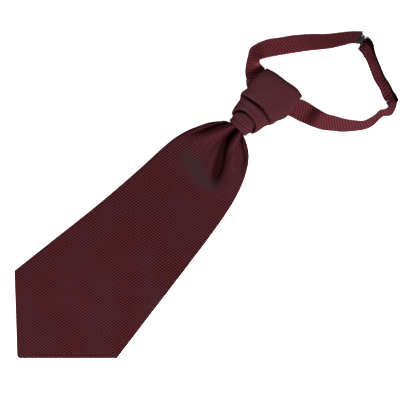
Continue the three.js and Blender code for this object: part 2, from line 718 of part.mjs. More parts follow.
// The hook: a loop whose inner bar lies in the strap's fold, and a tongue that curls over the eye.
function hookGeometry() {
  const end = strapFrames(RETURN_STRAP).at(-1);
  const bar = HOOK.wire / 2;
  const wide = FOLD_OPEN / 2 + SEAM + HOOK.wire + bar;
  const loop = loopGeometry({ ...HOOK, wide }).translate(0, wide / 2 - bar, 0);
  const onEdge = new THREE.Matrix4()
    .makeBasis(new THREE.Vector3(0, 1, 0), new THREE.Vector3(0, 0, 1), new THREE.Vector3(1, 0, 0))
    .setPosition(TONGUE.shift, 0, 0);
  const start = wide - HOOK.wire - bar + HOOK.rooted;
  const strip = extruded(tongueShape(start), TONGUE.wide, METAL_STEPS).applyMatrix4(onEdge);
  const joined = geometryOf(solidOf(loop).add(solidOf(strip)));
  return joined.applyMatrix4(onStrapEnd(end, 0, FOLD_OPEN / 2));
}

// The slider: a flat loop that the doubled strap comes out of.
function sliderGeometry() {
  const start = strapFrames(RETURN_STRAP)[0];
  return loopGeometry(SLIDER).applyMatrix4(onStrapEnd(start, -(SEAM + SLIDER.wide / 2), STRAP_THICK));
}

const group = new THREE.Group();
group.add(namedMesh("blade", bladeGeometry(), SILK));
group.add(namedMesh("knot_ring", ringGeometry(), KNOT_SILK));
group.add(namedMesh("knot_wrap", wrapGeometry(), KNOT_SILK));
group.add(namedMesh("knot_body", bodyGeometry(), KNOT_SILK));
group.add(namedMesh("knot_core", coreGeometry(), KNOT_SILK));
group.add(namedMesh("knot_side_layer", sideLayerGeometry(), KNOT_SILK));
group.add(namedMesh("neckband_left", strapGeometry(LEFT_STRAP, true), STRAP_SILK));
group.add(namedMesh("neckband_right", strapGeometry(RIGHT_STRAP, false), STRAP_SILK));
group.add(namedMesh("neckband_return", returnGeometry(), STRAP_SILK));
group.add(namedMesh("eye", eyeGeometry(), METAL));
group.add(namedMesh("hook", hookGeometry(), METAL));
group.add(namedMesh("slider", sliderGeometry(), METAL));

// The part's own origin: the middle of its underside.
const box = new THREE.Box3().setFromObject(group, true);
group.position.set(-(box.min.x + box.max.x) / 2, -(box.min.y + box.max.y) / 2, -box.min.z);

export default group;
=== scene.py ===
# %% [markdown]
# A pre-tied silk cravat, lying face up on a white table and seen from straight above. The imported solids
# come in first and never move: each cloth below is a finer shell on the form of one of them. Sizes are in
# millimetres, as on the solids: the blade's tip is at 0, 0, its length runs along +Y and the table is at
# height 0. One function moves them into the part's frame.

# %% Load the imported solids
import math

import bmesh
import bpy
import numpy as np
from mathutils import Matrix, Vector


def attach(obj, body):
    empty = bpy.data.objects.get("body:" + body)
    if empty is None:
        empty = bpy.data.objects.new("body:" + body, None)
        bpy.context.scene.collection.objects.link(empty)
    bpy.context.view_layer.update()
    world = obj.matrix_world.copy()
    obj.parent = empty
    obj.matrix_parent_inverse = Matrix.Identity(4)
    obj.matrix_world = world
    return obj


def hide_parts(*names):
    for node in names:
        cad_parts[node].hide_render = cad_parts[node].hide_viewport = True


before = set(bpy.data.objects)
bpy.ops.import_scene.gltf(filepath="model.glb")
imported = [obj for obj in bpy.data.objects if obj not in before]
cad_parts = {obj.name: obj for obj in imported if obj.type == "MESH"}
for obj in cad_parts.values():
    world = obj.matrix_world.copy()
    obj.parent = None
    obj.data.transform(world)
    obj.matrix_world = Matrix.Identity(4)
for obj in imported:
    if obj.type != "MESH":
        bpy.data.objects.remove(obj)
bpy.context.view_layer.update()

MM = 0.001
TIP_IN_PART = np.array([-14.2394, -238.9534, 0.0])


def to_part(points):
    """Millimetres from the blade's tip, as metres in the part's frame."""
    return (np.asarray(points, float) + TIP_IN_PART) * MM


# %% [markdown]
# A pattern cutter takes a few measures along a piece and joins them with a flexible ruler. Blender's curve
# objects could be that ruler, but cloth needs many such curves at once. So a table holds a few values under
# named columns, and one function runs a smooth curve through any two of them.

# %% Tables, and smooth curves through them
def table(columns, *rows):
    """Rows of values, each under the named columns."""
    return [dict(zip(columns.split(), row)) for row in rows]


def spline(place, value):
    """A smooth curve through rows of values, each at its place."""
    place = np.asarray(place, float)
    value = np.asarray(value, float).reshape(len(place), -1)
    slope = np.diff(value, axis=0) / np.diff(place)[:, None]
    tangent = np.concatenate((slope[:1], (slope[1:] + slope[:-1]) / 2, slope[-1:]))

    def at(where):
        where = np.clip(where, place[0], place[-1])
        i = np.clip(np.searchsorted(place, where, side="right") - 1, 0, len(place) - 2)
        span = (place[i + 1] - place[i])[..., None]
        p = (where - place[i])[..., None] / span
        start = (1 + 2 * p) * (1 - p) ** 2 * value[i] + p * (1 - p) ** 2 * span * tangent[i]
        end = p * p * (3 - 2 * p) * value[i + 1] - p * p * (1 - p) * span * tangent[i + 1]
        return start + end

    return at


def curve(rows, along, column):
    """A smooth curve through one column of a table, against another column."""
    through = spline([row[along] for row in rows], [row[column] for row in rows])
    return lambda where: through(np.asarray(where, float))[..., 0]

# %% [markdown]
# Folded cloth has no hard steps: one form passes softly into the next. Its points are crowded near its
# edges, where it turns over, because an even grid would need many more of them for an edge as round.

# %% Soft steps and crowded places
def smooth(value, low, high):
    """0 below low, 1 above high and a smooth step between them."""
    share = np.clip((value - low) / (high - low), 0, 1)
    return share * share * (3 - 2 * share)


def between(start, end, share):
    return start + (end - start) * share


def crowded(count, share=0.6):
    """Places from 0 to 1, closer together at both ends, where cloth turns over its edge."""
    even = np.linspace(0, 1, count)
    return between(even, (1 - np.cos(even * math.pi)) / 2, share)


print("five crowded places:", crowded(5, 1).round(2))

# %% [markdown]
# Each cloth is a grid of points, with rows along the piece and columns across. A plane could be pushed
# about by hand instead, but a grid can be measured as cloth is: which way it faces, how far it runs and how
# a rolled edge falls away.

# %% How a grid of cloth runs and faces
TINY = 1e-9


def grid_normals(grid, closed):
    ahead = np.gradient(grid, axis=0)
    if closed:
        across = np.roll(grid, -1, axis=1) - np.roll(grid, 1, axis=1)
    else:
        across = np.gradient(grid, axis=1)
    normal = np.cross(across, ahead)
    return normal / np.maximum(np.linalg.norm(normal, axis=2, keepdims=True), TINY)


def walked(grid, axis):
    """How far the cloth runs along one axis of its grid, at each point."""
    step = np.linalg.norm(np.diff(grid, axis=axis), axis=2)
    first = np.zeros_like(np.take(step, [0], axis=axis))
    return np.cumsum(np.concatenate((first, step), axis=axis), axis=axis)


def rolled(distance, radius):
    """0 at a cloth's edge and 1 from radius inwards, along a quarter circle."""
    left = 1 - np.clip(distance / radius, 0, 1)
    return np.sqrt(np.maximum(1 - left * left, 0))

# %% [markdown]
# The real piece is silk folded over an interlining, two faces that meet in a soft rolled edge. A Solidify
# modifier gives two faces too, but with an even wall and a square rim. So both are worked out first and
# sewn together here. The UV map is the cloth's own length and width in metres, so a weave drawn on it
# follows every fold.

# %% One closed mesh from two faces
MERGE_WITHIN = 0.002 * MM
SHORTEST_EDGE = 0.001 * MM


def cloth_object(name, outer, inner, cloth_uv, closed=False):
    """One closed mesh from the two faces. cloth_uv is in millimetres, with one more column on a tube."""
    rows, columns = outer.shape[:2]
    points = to_part(np.concatenate((outer.reshape(-1, 3), inner.reshape(-1, 3))))
    i, j = np.meshgrid(np.arange(rows - 1), np.arange(columns if closed else columns - 1), indexing="ij")
    i, j = i.ravel(), j.ravel()
    corners = np.stack((np.stack((i, i, i + 1, i + 1), 1), np.stack((j, j + 1, j + 1, j), 1)), 2)
    index = corners[..., 0] * columns + corners[..., 1] % columns
    faces = np.concatenate((index, index[:, ::-1] + rows * columns))
    mesh = bpy.data.meshes.new(name)
    mesh.from_pydata(points.tolist(), [], faces.tolist())
    uv = cloth_uv[corners[..., 0], corners[..., 1]] * MM
    both = np.concatenate((uv, uv[:, ::-1])).astype(np.float32)
    mesh.uv_layers.new(name="cloth").data.foreach_set("uv", both.ravel())
    work = bmesh.new()
    work.from_mesh(mesh)
    bmesh.ops.remove_doubles(work, verts=work.verts, dist=MERGE_WITHIN)
    bmesh.ops.dissolve_degenerate(work, dist=SHORTEST_EDGE, edges=work.edges)
    work.to_mesh(mesh)
    open_edges = sum(1 for edge in work.edges if len(edge.link_faces) != 2)
    work.free()
    mesh.shade_smooth()
    piece = bpy.data.objects.new(name, mesh)
    bpy.context.scene.collection.objects.link(piece)
    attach(piece, "root")
    print(name, "faces:", len(mesh.polygons), "open edges:", open_edges)
    return piece

# %% [markdown]
# The blade is the wide part that hangs in front: silk folded on the bias round an interlining, with a
# square tip. A curve object could trace its outline. A table of its width at a few places needs fewer
# points, and the pleats can be placed on the same sizes.

# %% The blade's outline
BLADE_THICK = 2.2
LEFT_CORNER = (-64.0, 60.0)
RIGHT_CORNER = (70.6, 70.6)
TIP_START = 1.5
BLADE_END = 335.0
LEFT_SIDE = table(
    "y x",
    (60, -64), (110, -58.2), (170, -51.4), (225, -47.4), (250, -46.4), (268, -44.6), (282, -40.9),
    (294, -35.8), (304, -30.6), (311, -25), (316, -20.4), (318, -16.4), (323, -15.2), (337, -15.2),
)
RIGHT_SIDE = table(
    "y x",
    (70.6, 70.6), (120, 64), (180, 56.2), (225, 49.9), (250, 45.6), (268, 41.2), (282, 36.4), (294, 30.6),
    (304, 23.8), (311, 16.4), (316, 7.6), (318, 2.4), (323, 1.2), (337, 1.2),
)
MIDDLE = table("y x", (0, 0), (110, 3), (225, 1.2), (304, -3.4), (323, -7), (337, -7))

left_side = curve(LEFT_SIDE, "y", "x")
right_side = curve(RIGHT_SIDE, "y", "x")
middle_x = curve(MIDDLE, "y", "x")


def blade_edge(y, corner, side):
    """The edge's X: straight from the tip to a corner, and the side's curve above it."""
    return np.where(y < corner[1], y / corner[1] * corner[0], side(y))


print("blade mm: long", BLADE_END, "wide", RIGHT_CORNER[0] - LEFT_CORNER[0])

# %% [markdown]
# Towards the ring the flat blade is gathered into a rounded bundle. A lattice could squeeze it, but the
# solid already gives the bundle's section, so a table holds it: how far it rises, how square it is, and how
# high the ring lifts its side edges.

# %% The gather
GATHER = table(
    "y rise square foot",
    (232, 0, 7, 0), (250, 1.3, 6, 0), (266, 3.6, 5, 0), (282, 6.8, 4, 0), (296, 9.4, 3.2, 0),
    (308, 11.2, 2.7, 0), (316, 10.2, 2.5, 1), (318.4, 9, 2.4, 2), (324, 8.6, 2.4, 2), (337, 7, 2.4, 2),
)

gather_rise = curve(GATHER, "y", "rise")
gather_square = curve(GATHER, "y", "square")
gather_foot = curve(GATHER, "y", "foot")
GATHER_START = GATHER[0]["y"]
print("the gather rises mm:", max(row["rise"] for row in GATHER))

# %% [markdown]
# The pleats were pressed and sewn by hand, each in a place of its own, and a cloth simulation would make
# others. So each is a soft trough or ridge on its own path, from the ring down to where it fades. It has a
# height at the ring (a trough is negative), a half width on each side at both ends, and a power: 2 is round
# and 1 is a crease.

# %% The pleats
PLEATS = table(
    "name y x high full_y left_w right_w power",
    ("main trough", (319, 311, 303, 296, 288, 280, 271, 257), (-6.4, -6.9, -6.0, -3.0, 1.6, 6.2, 11, 19),
     -11.6, 286, (1.7, 6.6), (1.7, 5.6), 2),
    ("left trough", (319, 312, 305, 297, 288, 274), (-15.6, -20, -24.4, -28.6, -33, -38.4),
     -4.2, 299, (1.0, 3), (1.2, 4.5), 2),
    ("right trough", (319, 314, 310, 305, 296, 284), (0.4, 3.6, 9, 17.4, 24.6, 31),
     -3.6, 307, (0.9, 4), (0.9, 2), 1.7),
    ("left ridge", (319, 310, 300, 285, 262), (-12, -14.4, -18, -22, -27),
     2.2, 300, (2.2, 8), (2.4, 9), 2),
    ("right ridge", (319, 310, 300, 288, 262), (-2.6, 0.6, 5, 13, 30), 2.6, 299, (1.9, 6), (2.6, 12), 2),
    ("middle crease", (319, 308, 296, 280, 268), (-9.8, -11.2, -11, -8.6, -6.4),
     -1.4, 300, (1.0, 3.6), (1.0, 3.6), 1.6),
    ("wedge below the trough", (319, 290, 283, 277, 270, 262), (3, 8, 12.4, 17, 20.6, 23),
     -1.5, 277, (1, 6), (1, 8), 2),
    ("pressed bend", (319, 300, 284, 272, 262, 250), (-33, -33, -31, -26, -18, -2),
     0.7, 276, (2, 6), (2, 9), 2),
)
PLEAT_HOLD = 1.2


def pleat_height(x, y):
    total = np.zeros_like(x)
    for pleat in PLEATS:
        ring_y, fade_y = pleat["y"][0], pleat["y"][-1]
        path = spline(pleat["y"][::-1], pleat["x"][::-1])(y)[..., 0]
        along = np.clip((y - fade_y) / (ring_y - fade_y), 0, 1)
        left, right = (between(*pleat[side][::-1], along) for side in ("left_w", "right_w"))
        side = np.where(x < path, left, right)
        strength = smooth(y, fade_y, pleat["full_y"])
        total += pleat["high"] * strength * np.exp(-((np.abs(x - path) / side) ** pleat["power"]))
    return total


print("pleats:", ", ".join(pleat["name"] for pleat in PLEATS))

# %% [markdown]
# Near the outline the upper face sinks along a quarter circle, the soft fold of a lined edge. A bevel would
# round it too, but stops short where the tip and the sides meet at an angle. So each point's distance to
# the nearest edge is worked out.

# %% How far in from the blade's edge
EDGE_TOP_ROLL = 3.4


def line_distance(x, y, corner):
    """How far a point is from the line through the tip and a corner."""
    return np.abs(x * corner[1] - y * corner[0]) / math.hypot(*corner)


def edge_distance(x, y):
    """How far a point is inside the blade's outline, near enough for its rolled edge."""
    nearest = np.inf
    for side, corner, inwards in ((left_side, LEFT_CORNER, 1), (right_side, RIGHT_CORNER, -1)):
        slope = (side(y + 1) - side(y - 1)) / 2
        from_side = inwards * (x - side(y)) / np.hypot(1, slope)
        from_side = np.where(y > corner[1] - EDGE_TOP_ROLL, from_side, np.inf)
        hem = np.where(y < RIGHT_CORNER[1] + EDGE_TOP_ROLL, line_distance(x, y, corner), np.inf)
        nearest = np.minimum(nearest, np.minimum(from_side, hem))
    return np.maximum(nearest, 0)

# %% [markdown]
# The blade is one grid of points from the tip to the ring, with more rows where it is gathered, and closer
# together at its sides. An evenly subdivided plane would need many more points for pleats as fine.

# %% The blade's grid of points
BLADE_COLUMNS = 97
BLADE_CROWDED = 0.72
BLADE_ROWS = table(
    "from_y to_y count",
    (TIP_START, LEFT_CORNER[1], 20), (LEFT_CORNER[1], RIGHT_CORNER[1], 5),
    (RIGHT_CORNER[1], GATHER_START, 46), (GATHER_START, BLADE_END, 104),
)


def blade_places():
    """The grid's places, each one's share of the way to its side, and how far in from the edge it is."""
    runs = [np.linspace(run["from_y"], run["to_y"], run["count"]) for run in BLADE_ROWS]
    rows = np.concatenate(runs[:1] + [run[1:] for run in runs[1:]])
    half = crowded(BLADE_COLUMNS, BLADE_CROWDED)[BLADE_COLUMNS // 2:] * 2 - 1
    share = np.concatenate((-half[:0:-1], half))
    y, across = np.meshgrid(rows, share, indexing="ij")
    left, right = blade_edge(y, LEFT_CORNER, left_side), blade_edge(y, RIGHT_CORNER, right_side)
    edge = np.where(across < 0, left, right)
    x = between(middle_x(y), edge, np.abs(across))
    distance = edge_distance(x, y)
    distance[:, [0, -1]] = 0
    distance[[0, -1]] = 0
    return x, y, across, distance


blade_x, blade_y, blade_across, blade_inside = blade_places()
print("blade grid:", blade_x.shape)

# %% [markdown]
# The upper face rises to the gather's crown and takes the pleats with it. Sculpting could add its slight
# unevenness. Three long shallow waves give it here, the same on each run. A shallow step along the right
# side shows where the hem is turned in.

# %% The blade's upper face
EDGE_HEIGHT = 1.0
# How often a wave repeats along X and Y is in waves per metre.
WAVES = table(
    "high often_x often_y start",
    (0.16, 6.1, 4.3, 0.4), (0.12, -9.7, 7.9, 2.1), (0.08, 17.0, 13.0, 4.0),
)
CALM_EDGE = (2, 14)
HEM = {"inside": 4.2, "half": 0.9, "deep": 0.4, "to_y": 300}


def blade_top(x, y, across, distance):
    """The upper face: the gather's crown, the folds in it, and the hem that shows through."""
    square = gather_square(y)
    crown = np.maximum(1 - np.abs(across) ** square, 0) ** (1 / square)
    folded = pleat_height(x, y) * np.minimum(1, crown * PLEAT_HOLD)
    calm = smooth(distance, *CALM_EDGE)
    for wave in WAVES:
        turns = wave["often_x"] * x + wave["often_y"] * y
        folded += wave["high"] * calm * np.sin(2 * math.pi * MM * turns + wave["start"])
    hem = np.exp(-(((distance - HEM["inside"]) / HEM["half"]) ** 2))
    folded -= HEM["deep"] * (hem * (x > middle_x(y)) * (y < HEM["to_y"]))
    lowest = np.where(y < GATHER_START, folded, 0)
    lifted = np.maximum(lowest, gather_rise(y) * crown + folded) + gather_foot(y)
    face = rolled(distance, EDGE_TOP_ROLL)
    return np.stack((x, y, lifted + between(EDGE_HEIGHT, BLADE_THICK, face)), 2)


blade_outer = blade_top(blade_x, blade_y, blade_across, blade_inside)
print("blade's highest point mm:", round(blade_outer[..., 2].max(), 1))

# %% [markdown]
# The back is the same silk, turned round the edges and sewn together down the middle: the lower face
# follows the upper one, with a shallow groove as that seam. A Solidify modifier would let the undersides of
# steep pleats cut into each other, so here the lower face moves less far sideways.

# %% The blade's lower face, and its mesh
EDGE_UNDER_ROLL = 2.4
SIDE_SHARE = 0.8
LEAST_DROP = 0.35
BACK_SEAM = {"half": 1.1, "deep": 0.9, "share": 0.5, "to_y": 300}


def blade_bottom(outer, distance):
    x, y = outer[..., 0], outer[..., 1]
    normal = grid_normals(outer, False)
    depth = BLADE_THICK * rolled(distance, EDGE_UNDER_ROLL)
    inner = outer.copy()
    inner[..., 0] -= normal[..., 0] * depth * SIDE_SHARE
    inner[..., 2] -= depth * np.maximum(normal[..., 2], LEAST_DROP)
    inner[..., 2] = np.maximum(inner[..., 2], gather_foot(y))
    seam = np.clip(1 - np.abs(x - middle_x(y)) / BACK_SEAM["half"], 0, 1) * (y < BACK_SEAM["to_y"])
    inner[..., 2] += seam * np.minimum(BACK_SEAM["deep"], depth * BACK_SEAM["share"])
    return inner


cloth_x = walked(blade_outer, 1)
cloth_x -= cloth_x[:, [BLADE_COLUMNS // 2]] - middle_x(blade_y)
blade_inner = blade_bottom(blade_outer, blade_inside)
blade = cloth_object("blade_cloth", blade_outer, blade_inner, np.stack((cloth_x, blade_y), 2))
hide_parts("blade")

# %% [markdown]
# Under the gather an iron has pressed the silk flat, and there a greyish tint stands for its sheen: painted
# sheen. A fold's crest is made lighter, a painted highlight, and its depth darker, painted shade. That could
# be painted on the mesh by hand. Here two numbers for each corner are worked out from the pleats and a few
# ellipses, for the silk's material to read. An ellipse has its middle, half sizes, turn in degrees and
# height.

# %% Where the painted sheen and the painted light and shade of the folds go
# Ellipses where the silk under the gather gets a greyish tint: painted sheen.
PAINTED_SHEEN_ELLIPSES = table(
    "x y long wide turn high",
    (-24, 264, 9, 6, -46, 0.8), (-8, 257, 15, 6.5, -12, 0.9), (12, 258, 14, 8, 16, 0.9),
    (-6, 264.5, 12, 6, 4, 0.6), (-13, 274, 12, 6, 60, 0.4), (20, 268, 8, 5, 62, 0.5),
)
PAINTED_SHEEN_EDGE = (0.3, 0.85)
# Painted highlight on fold crests and painted shade in fold depths: where each starts and how strong it is.
PAINTED_FOLD_SHADE = {"from": 0.7, "high": 1.5, "pale": 0.32, "deep": 3.4, "dark": 0.6}


def dent_height(x, y, dents):
    total = np.zeros_like(x)
    for dent in dents:
        angle = math.radians(dent["turn"])
        along = (x - dent["x"]) * math.cos(angle) + (y - dent["y"]) * math.sin(angle)
        across = (y - dent["y"]) * math.cos(angle) - (x - dent["x"]) * math.sin(angle)
        total += dent["high"] * np.exp(-((along / dent["long"]) ** 2) - (across / dent["wide"]) ** 2)
    return total


def corner_values(piece, name, values):
    """Stores one number at each corner of a mesh, for its material to read."""
    stored = piece.data.attributes.new(name, "FLOAT", "POINT")
    stored.data.foreach_set("value", values.astype(np.float32))


corner = np.array([v.co for v in blade.data.vertices]) / MM - TIP_IN_PART
# Painted sheen: a greyish tint where the silk was pressed flat.
sheen_zone_height = dent_height(corner[:, 0], corner[:, 1], PAINTED_SHEEN_ELLIPSES)
corner_values(blade, "pressed", smooth(sheen_zone_height, *PAINTED_SHEEN_EDGE))
# Painted light and shade of the folds: crests lighter, depths darker.
fold = pleat_height(corner[:, 0], corner[:, 1])
painted_crest_light = np.clip((fold - PAINTED_FOLD_SHADE["from"]) / PAINTED_FOLD_SHADE["high"], 0, 1)
depth = np.clip(-fold / PAINTED_FOLD_SHADE["deep"], 0, 1)
painted_fold_shade = 1 + PAINTED_FOLD_SHADE["pale"] * painted_crest_light - PAINTED_FOLD_SHADE["dark"] * depth
corner_values(blade, "painted_fold_shade", painted_fold_shade)
print("shade of the folds, from", round(painted_fold_shade.min(), 2), "to", round(painted_fold_shade.max(), 2))

# %% [markdown]
# The knot is three layers of the same silk. This helper gives any grid a wall with rolled edges: near an
# edge both faces sink to the middle of the cloth. Solidify and Bevel modifiers come close, but can't keep
# the wall above the table.

# %% A wall of cloth with rolled edges
def soft_wall(grid, thick, radius, closed=False):
    """The outer and the inner face of a cloth whose edges are rolled with the given radius."""
    normal = grid_normals(grid, closed)
    along = walked(grid, 0)
    distance = np.minimum(along, along[-1:] - along)
    if not closed:
        across = walked(grid, 1)
        distance = np.minimum(distance, np.minimum(across, across[:, -1:] - across))
    full = rolled(distance, radius)[..., None]
    outer = grid - normal * thick * (1 - full) / 2
    inner = grid - normal * thick * (1 + full) / 2
    outer[..., 2] = np.maximum(outer[..., 2], 0)
    inner[..., 2] = np.maximum(inner[..., 2], 0)
    return outer, inner


def wall_cloth(name, grid, thick, radius):
    """A piece of cloth on a grid, with its own length and width as its UV map."""
    outer, inner = soft_wall(grid, thick, radius)
    return cloth_object(name, outer, inner, np.stack((walked(grid, 1), walked(grid, 0)), 2))

# %% [markdown]
# Ring and wrap are tubes of cloth that lie on the table, so their section is a rounded square with a flat
# underside. A squashed cylinder would have it too, but the size changes along the tube, creases run round
# it, and it dives under the lip of the layer above. So a formula makes it.

# %% A tube of cloth
WRAP_THICK = 1.6
TUBE_X = -7
TUBE_SQUARE = 2.6
TUBE_FLAT = 0.8
LIP_ROLL = 1.7
CREASED = (-0.3, 0.3)
DIVING = (0.05, 0.45)
DIVE_PAST = 0.2


def tube_grid(sizes, rows, columns, row_y, creases, cover_y, dive):
    """Points of a tube of cloth. row_y gives the place along it, and cover_y the lip that lies over it."""
    half, top = curve(sizes, "y", "half"), curve(sizes, "y", "top")
    turn = np.linspace(-math.pi, math.pi, columns, endpoint=False)
    share, turn = np.meshgrid(crowded(rows), turn, indexing="ij")
    y = row_y(share, turn)
    power = 2 / TUBE_SQUARE
    side, up = np.sin(turn), np.cos(turn)
    high = (top(y) + TUBE_FLAT) / 2
    x = TUBE_X + half(y) * np.sign(side) * np.abs(side) ** power
    z = np.maximum(top(y) - high + high * np.sign(up) * np.abs(up) ** power, 0)
    grid = np.stack((x, y, z), 2)
    on_top = smooth(up, *CREASED)
    cover = cover_y(x, up)
    diving = smooth(y, cover - dive["ahead"], cover + DIVE_PAST)
    lift = -dive["deep"] * diving * smooth(up, *DIVING)
    for crease in creases:
        away = (y - crease["y"] - crease["slant"] * side) / crease["half"]
        lift += crease["high"] * np.exp(-(away**2)) * on_top
    return grid + grid_normals(grid, True) * lift[..., None]


def tube_cloth(name, grid):
    outer, inner = soft_wall(grid, WRAP_THICK, LIP_ROLL, closed=True)
    inner[..., 2] = np.maximum(inner[..., 2], np.minimum(WRAP_THICK, outer[..., 2] + WRAP_THICK))
    same = np.zeros(grid.shape[:2], bool)
    same[[0, -1]] = True
    inner[same] = outer[same]
    looped = np.concatenate((grid, grid[:, :1]), axis=1)
    around = walked(looped, 1)
    return cloth_object(name, outer, inner, np.stack((around, looped[..., 1]), 2), closed=True)

# %% [markdown]
# The ring is the narrow loop that holds the pleats, and its cloth goes on under the wrap: it dives just
# ahead of the wrap's lip. A crease crosses the top at one place, slants from side to side, and has a height
# (a dent is negative) and a half width. A texture could draw creases too, but these few are uneven, as
# hand-pulled cloth is, and change the outline.

# %% The ring
RING_ROWS, RING_COLUMNS = 34, 128
RING = table(
    "y half top",
    (318.2, 11.3, 16.2), (322.6, 11.8, 16.8), (325, 12.9, 17), (328, 14.4, 17), (331, 15, 17),
    (339, 15.3, 17),
)
WRAP_LIP = {"top_y": 336.2, "side_y": 323.8, "under_y": 339.5, "end_y": 354.2, "arch": 1.3}
RING_DIVE = {"deep": 3.0, "ahead": 2.6}
RING_CREASES = table(
    "y slant high half",
    (322.2, 1.8, 0.32, 1.3), (324.9, 2.6, -0.42, 0.9), (328.6, -1.6, 0.3, 1.6), (331.2, -2.4, -0.36, 0.9),
)


def wrap_lip_y(x, up):
    return between(WRAP_LIP["side_y"], WRAP_LIP["top_y"], np.maximum(up, 0) ** WRAP_LIP["arch"])


def ring_row_y(share, turn):
    return between(RING[0]["y"], RING[-1]["y"], share)


ring_grid = tube_grid(RING, RING_ROWS, RING_COLUMNS, ring_row_y, RING_CREASES, wrap_lip_y, RING_DIVE)
ring = tube_cloth("knot_ring_cloth", ring_grid)
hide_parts("knot_ring")

# %% [markdown]
# The wrap is a wider loop that comes down over the ring in an arch, with its upper end under the body's
# lip. A cut along a tube would give the arch. Here the first row itself runs along the arch, so the lip
# keeps its rolled edge all round.

# %% The wrap
WRAP_ROWS, WRAP_COLUMNS = 40, 144
BODY_LEFT = table("y x", (346, -29.4), (353, -28.6), (362, -30.2), (372, -29.6), (389, -28.6))
BODY_RIGHT = table("y x", (346, 15.6), (354, 17.6), (361, 20), (370, 18), (380, 16.8), (389, 16.4))
BODY_FRONT_LIP = table("u y", (0, 345.4), (0.22, 347.6), (0.45, 350), (0.7, 349.8), (1, 346.2))
WRAP = table(
    "y half top",
    (323.8, 13.9, 19), (327, 15.8, 19.2), (331, 17, 19.6), (336, 17.8, 20.2), (341, 18.9, 21),
    (345, 21.8, 21.6), (350, 22.2, 21.6), (355, 20.8, 21.6),
)
WRAP_UNDER = (0.05, 0.7)
WRAP_DIVE = {"deep": 4.6, "ahead": 3.4}
WRAP_CREASES = table(
    "y slant high half",
    (338.6, 1.2, 0.35, 1.5), (341.2, 2.2, -0.4, 1), (345.4, -1.4, 0.3, 1.8), (347.4, -2.6, -0.3, 0.9),
)


def body_lip_y(x, up):
    left, right = BODY_LEFT[0]["x"], BODY_RIGHT[0]["x"]
    return curve(BODY_FRONT_LIP, "u", "y")((x - left) / (right - left))


def wrap_row_y(share, turn):
    up = np.cos(turn)
    lip = wrap_lip_y(None, up)
    back = smooth(-up, *WRAP_UNDER)
    lip = lip + (WRAP_LIP["under_y"] - WRAP_LIP["side_y"]) * back
    return between(lip, WRAP_LIP["end_y"], share)


wrap_grid = tube_grid(WRAP, WRAP_ROWS, WRAP_COLUMNS, wrap_row_y, WRAP_CREASES, body_lip_y, WRAP_DIVE)
wrap = tube_cloth("knot_wrap_cloth", wrap_grid)
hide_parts("knot_wrap")

# %% [markdown]
# The body is the knot's broad front, a loop of cloth that the neckband runs through: from its lower lip up
# the front, over the top edge and down to the table at the back. It could be a bent plane. A section that
# is drawn once and swept across keeps its length of cloth in hand, and the tables say how it leans.

# %% The section of the knot's body
BODY_TOP_EDGE = table("u y", (0, 381.4), (0.2, 384.2), (0.5, 386.2), (0.8, 388.4), (1, 387))
BODY_FRONT = table(
    "share ahead drop",
    (0, 0, 1.5), (0, 1.6, 0.5), (0.2, 0, 0), (0.5, 0, -0.3), (0.8, 0, 0), (1, -3.2, 0.7), (1, -0.9, 2.2),
    (1, 0, 4.6),
)
BODY_BACK = table(
    "share ahead z",
    (0, 0, 11.5), (0, -0.4, 3.4), (0, -1.6, 1.1), (0, -4, 0), (0.55, 0, 0), (1, 0, 0),
)
BODY_HIGH = 24.6
BODY_BACK_END = 354
BODY_CROWN = {"drop": 3.4, "square": 3.4}
BODY_ROWS_CROWDED = 0.5


def body_column(u, rows):
    lip, edge = curve(BODY_FRONT_LIP, "u", "y")(u), curve(BODY_TOP_EDGE, "u", "y")(u)
    high = BODY_HIGH - BODY_CROWN["drop"] * abs(2 * u - 1) ** BODY_CROWN["square"]
    path = [(between(lip, edge, r["share"]) + r["ahead"], high - r["drop"]) for r in BODY_FRONT]
    path += [(between(edge, BODY_BACK_END, r["share"]) + r["ahead"], r["z"]) for r in BODY_BACK]
    path = np.array(path)
    place = np.concatenate(([0], np.cumsum(np.linalg.norm(np.diff(path, axis=0), axis=1))))
    found = spline(place, path)(crowded(rows, BODY_ROWS_CROWDED) * place[-1])
    x = between(curve(BODY_LEFT, "y", "x")(found[:, 0]), curve(BODY_RIGHT, "y", "x")(found[:, 0]), u)
    return np.stack((x, found[:, 0], np.maximum(found[:, 1], 0)), 1)

# %% [markdown]
# The section is swept from side to side, and the front gets soft dents and swellings where hidden layers
# press through. They fade where the cloth turns down. Sculpting could do this too, but six named dents are
# easier to move.

# %% The knot's body
BODY_THICK = 1.8
BODY_ROLL = 1.9
BODY_ROWS, BODY_COLUMNS = 84, 61
DENTS_FADE = (BODY_HIGH - 8, BODY_HIGH - 4)
BODY_DENTS = table(
    "x y long wide turn high",
    (-20, 366, 15, 4, 62, -0.5), (-8, 370, 14, 5, 118, 0.45), (6, 376, 12, 2.6, -52, -0.45),
    (11, 362, 11, 4, 55, 0.4), (15, 376, 9, 2, 128, -0.4), (-24, 352, 7, 2.4, 20, 0.4),
)

body_grid = np.stack([body_column(u, BODY_ROWS) for u in crowded(BODY_COLUMNS)], 1)
in_front = smooth(body_grid[..., 2], *DENTS_FADE)
body_grid[..., 2] += dent_height(body_grid[..., 0], body_grid[..., 1], BODY_DENTS) * in_front
body = wall_cloth("knot_body_cloth", body_grid, BODY_THICK, BODY_ROLL)
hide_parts("knot_body")

# %% [markdown]
# Inside the knot the cloth is folded over and over, and only the folds' edges show at its flanks. A stack
# of sheets could stand for them, but most of it would never be seen. One closed block looks the same: its
# outline is a rounded rectangle, and its side swells out once for each layer.

# %% The form of the folded layers
CORE = {"left": -26, "right": 13.2, "low": 355, "high": 381, "under": 2.2, "over": 19.6}
CORE_LAYERS = 7
CORE_CORNER = 5.0
CORE_SWELL = 1.1
CORE_CAP = 3.0
CORE_STEPS = 7
CORNER_STEPS = 8


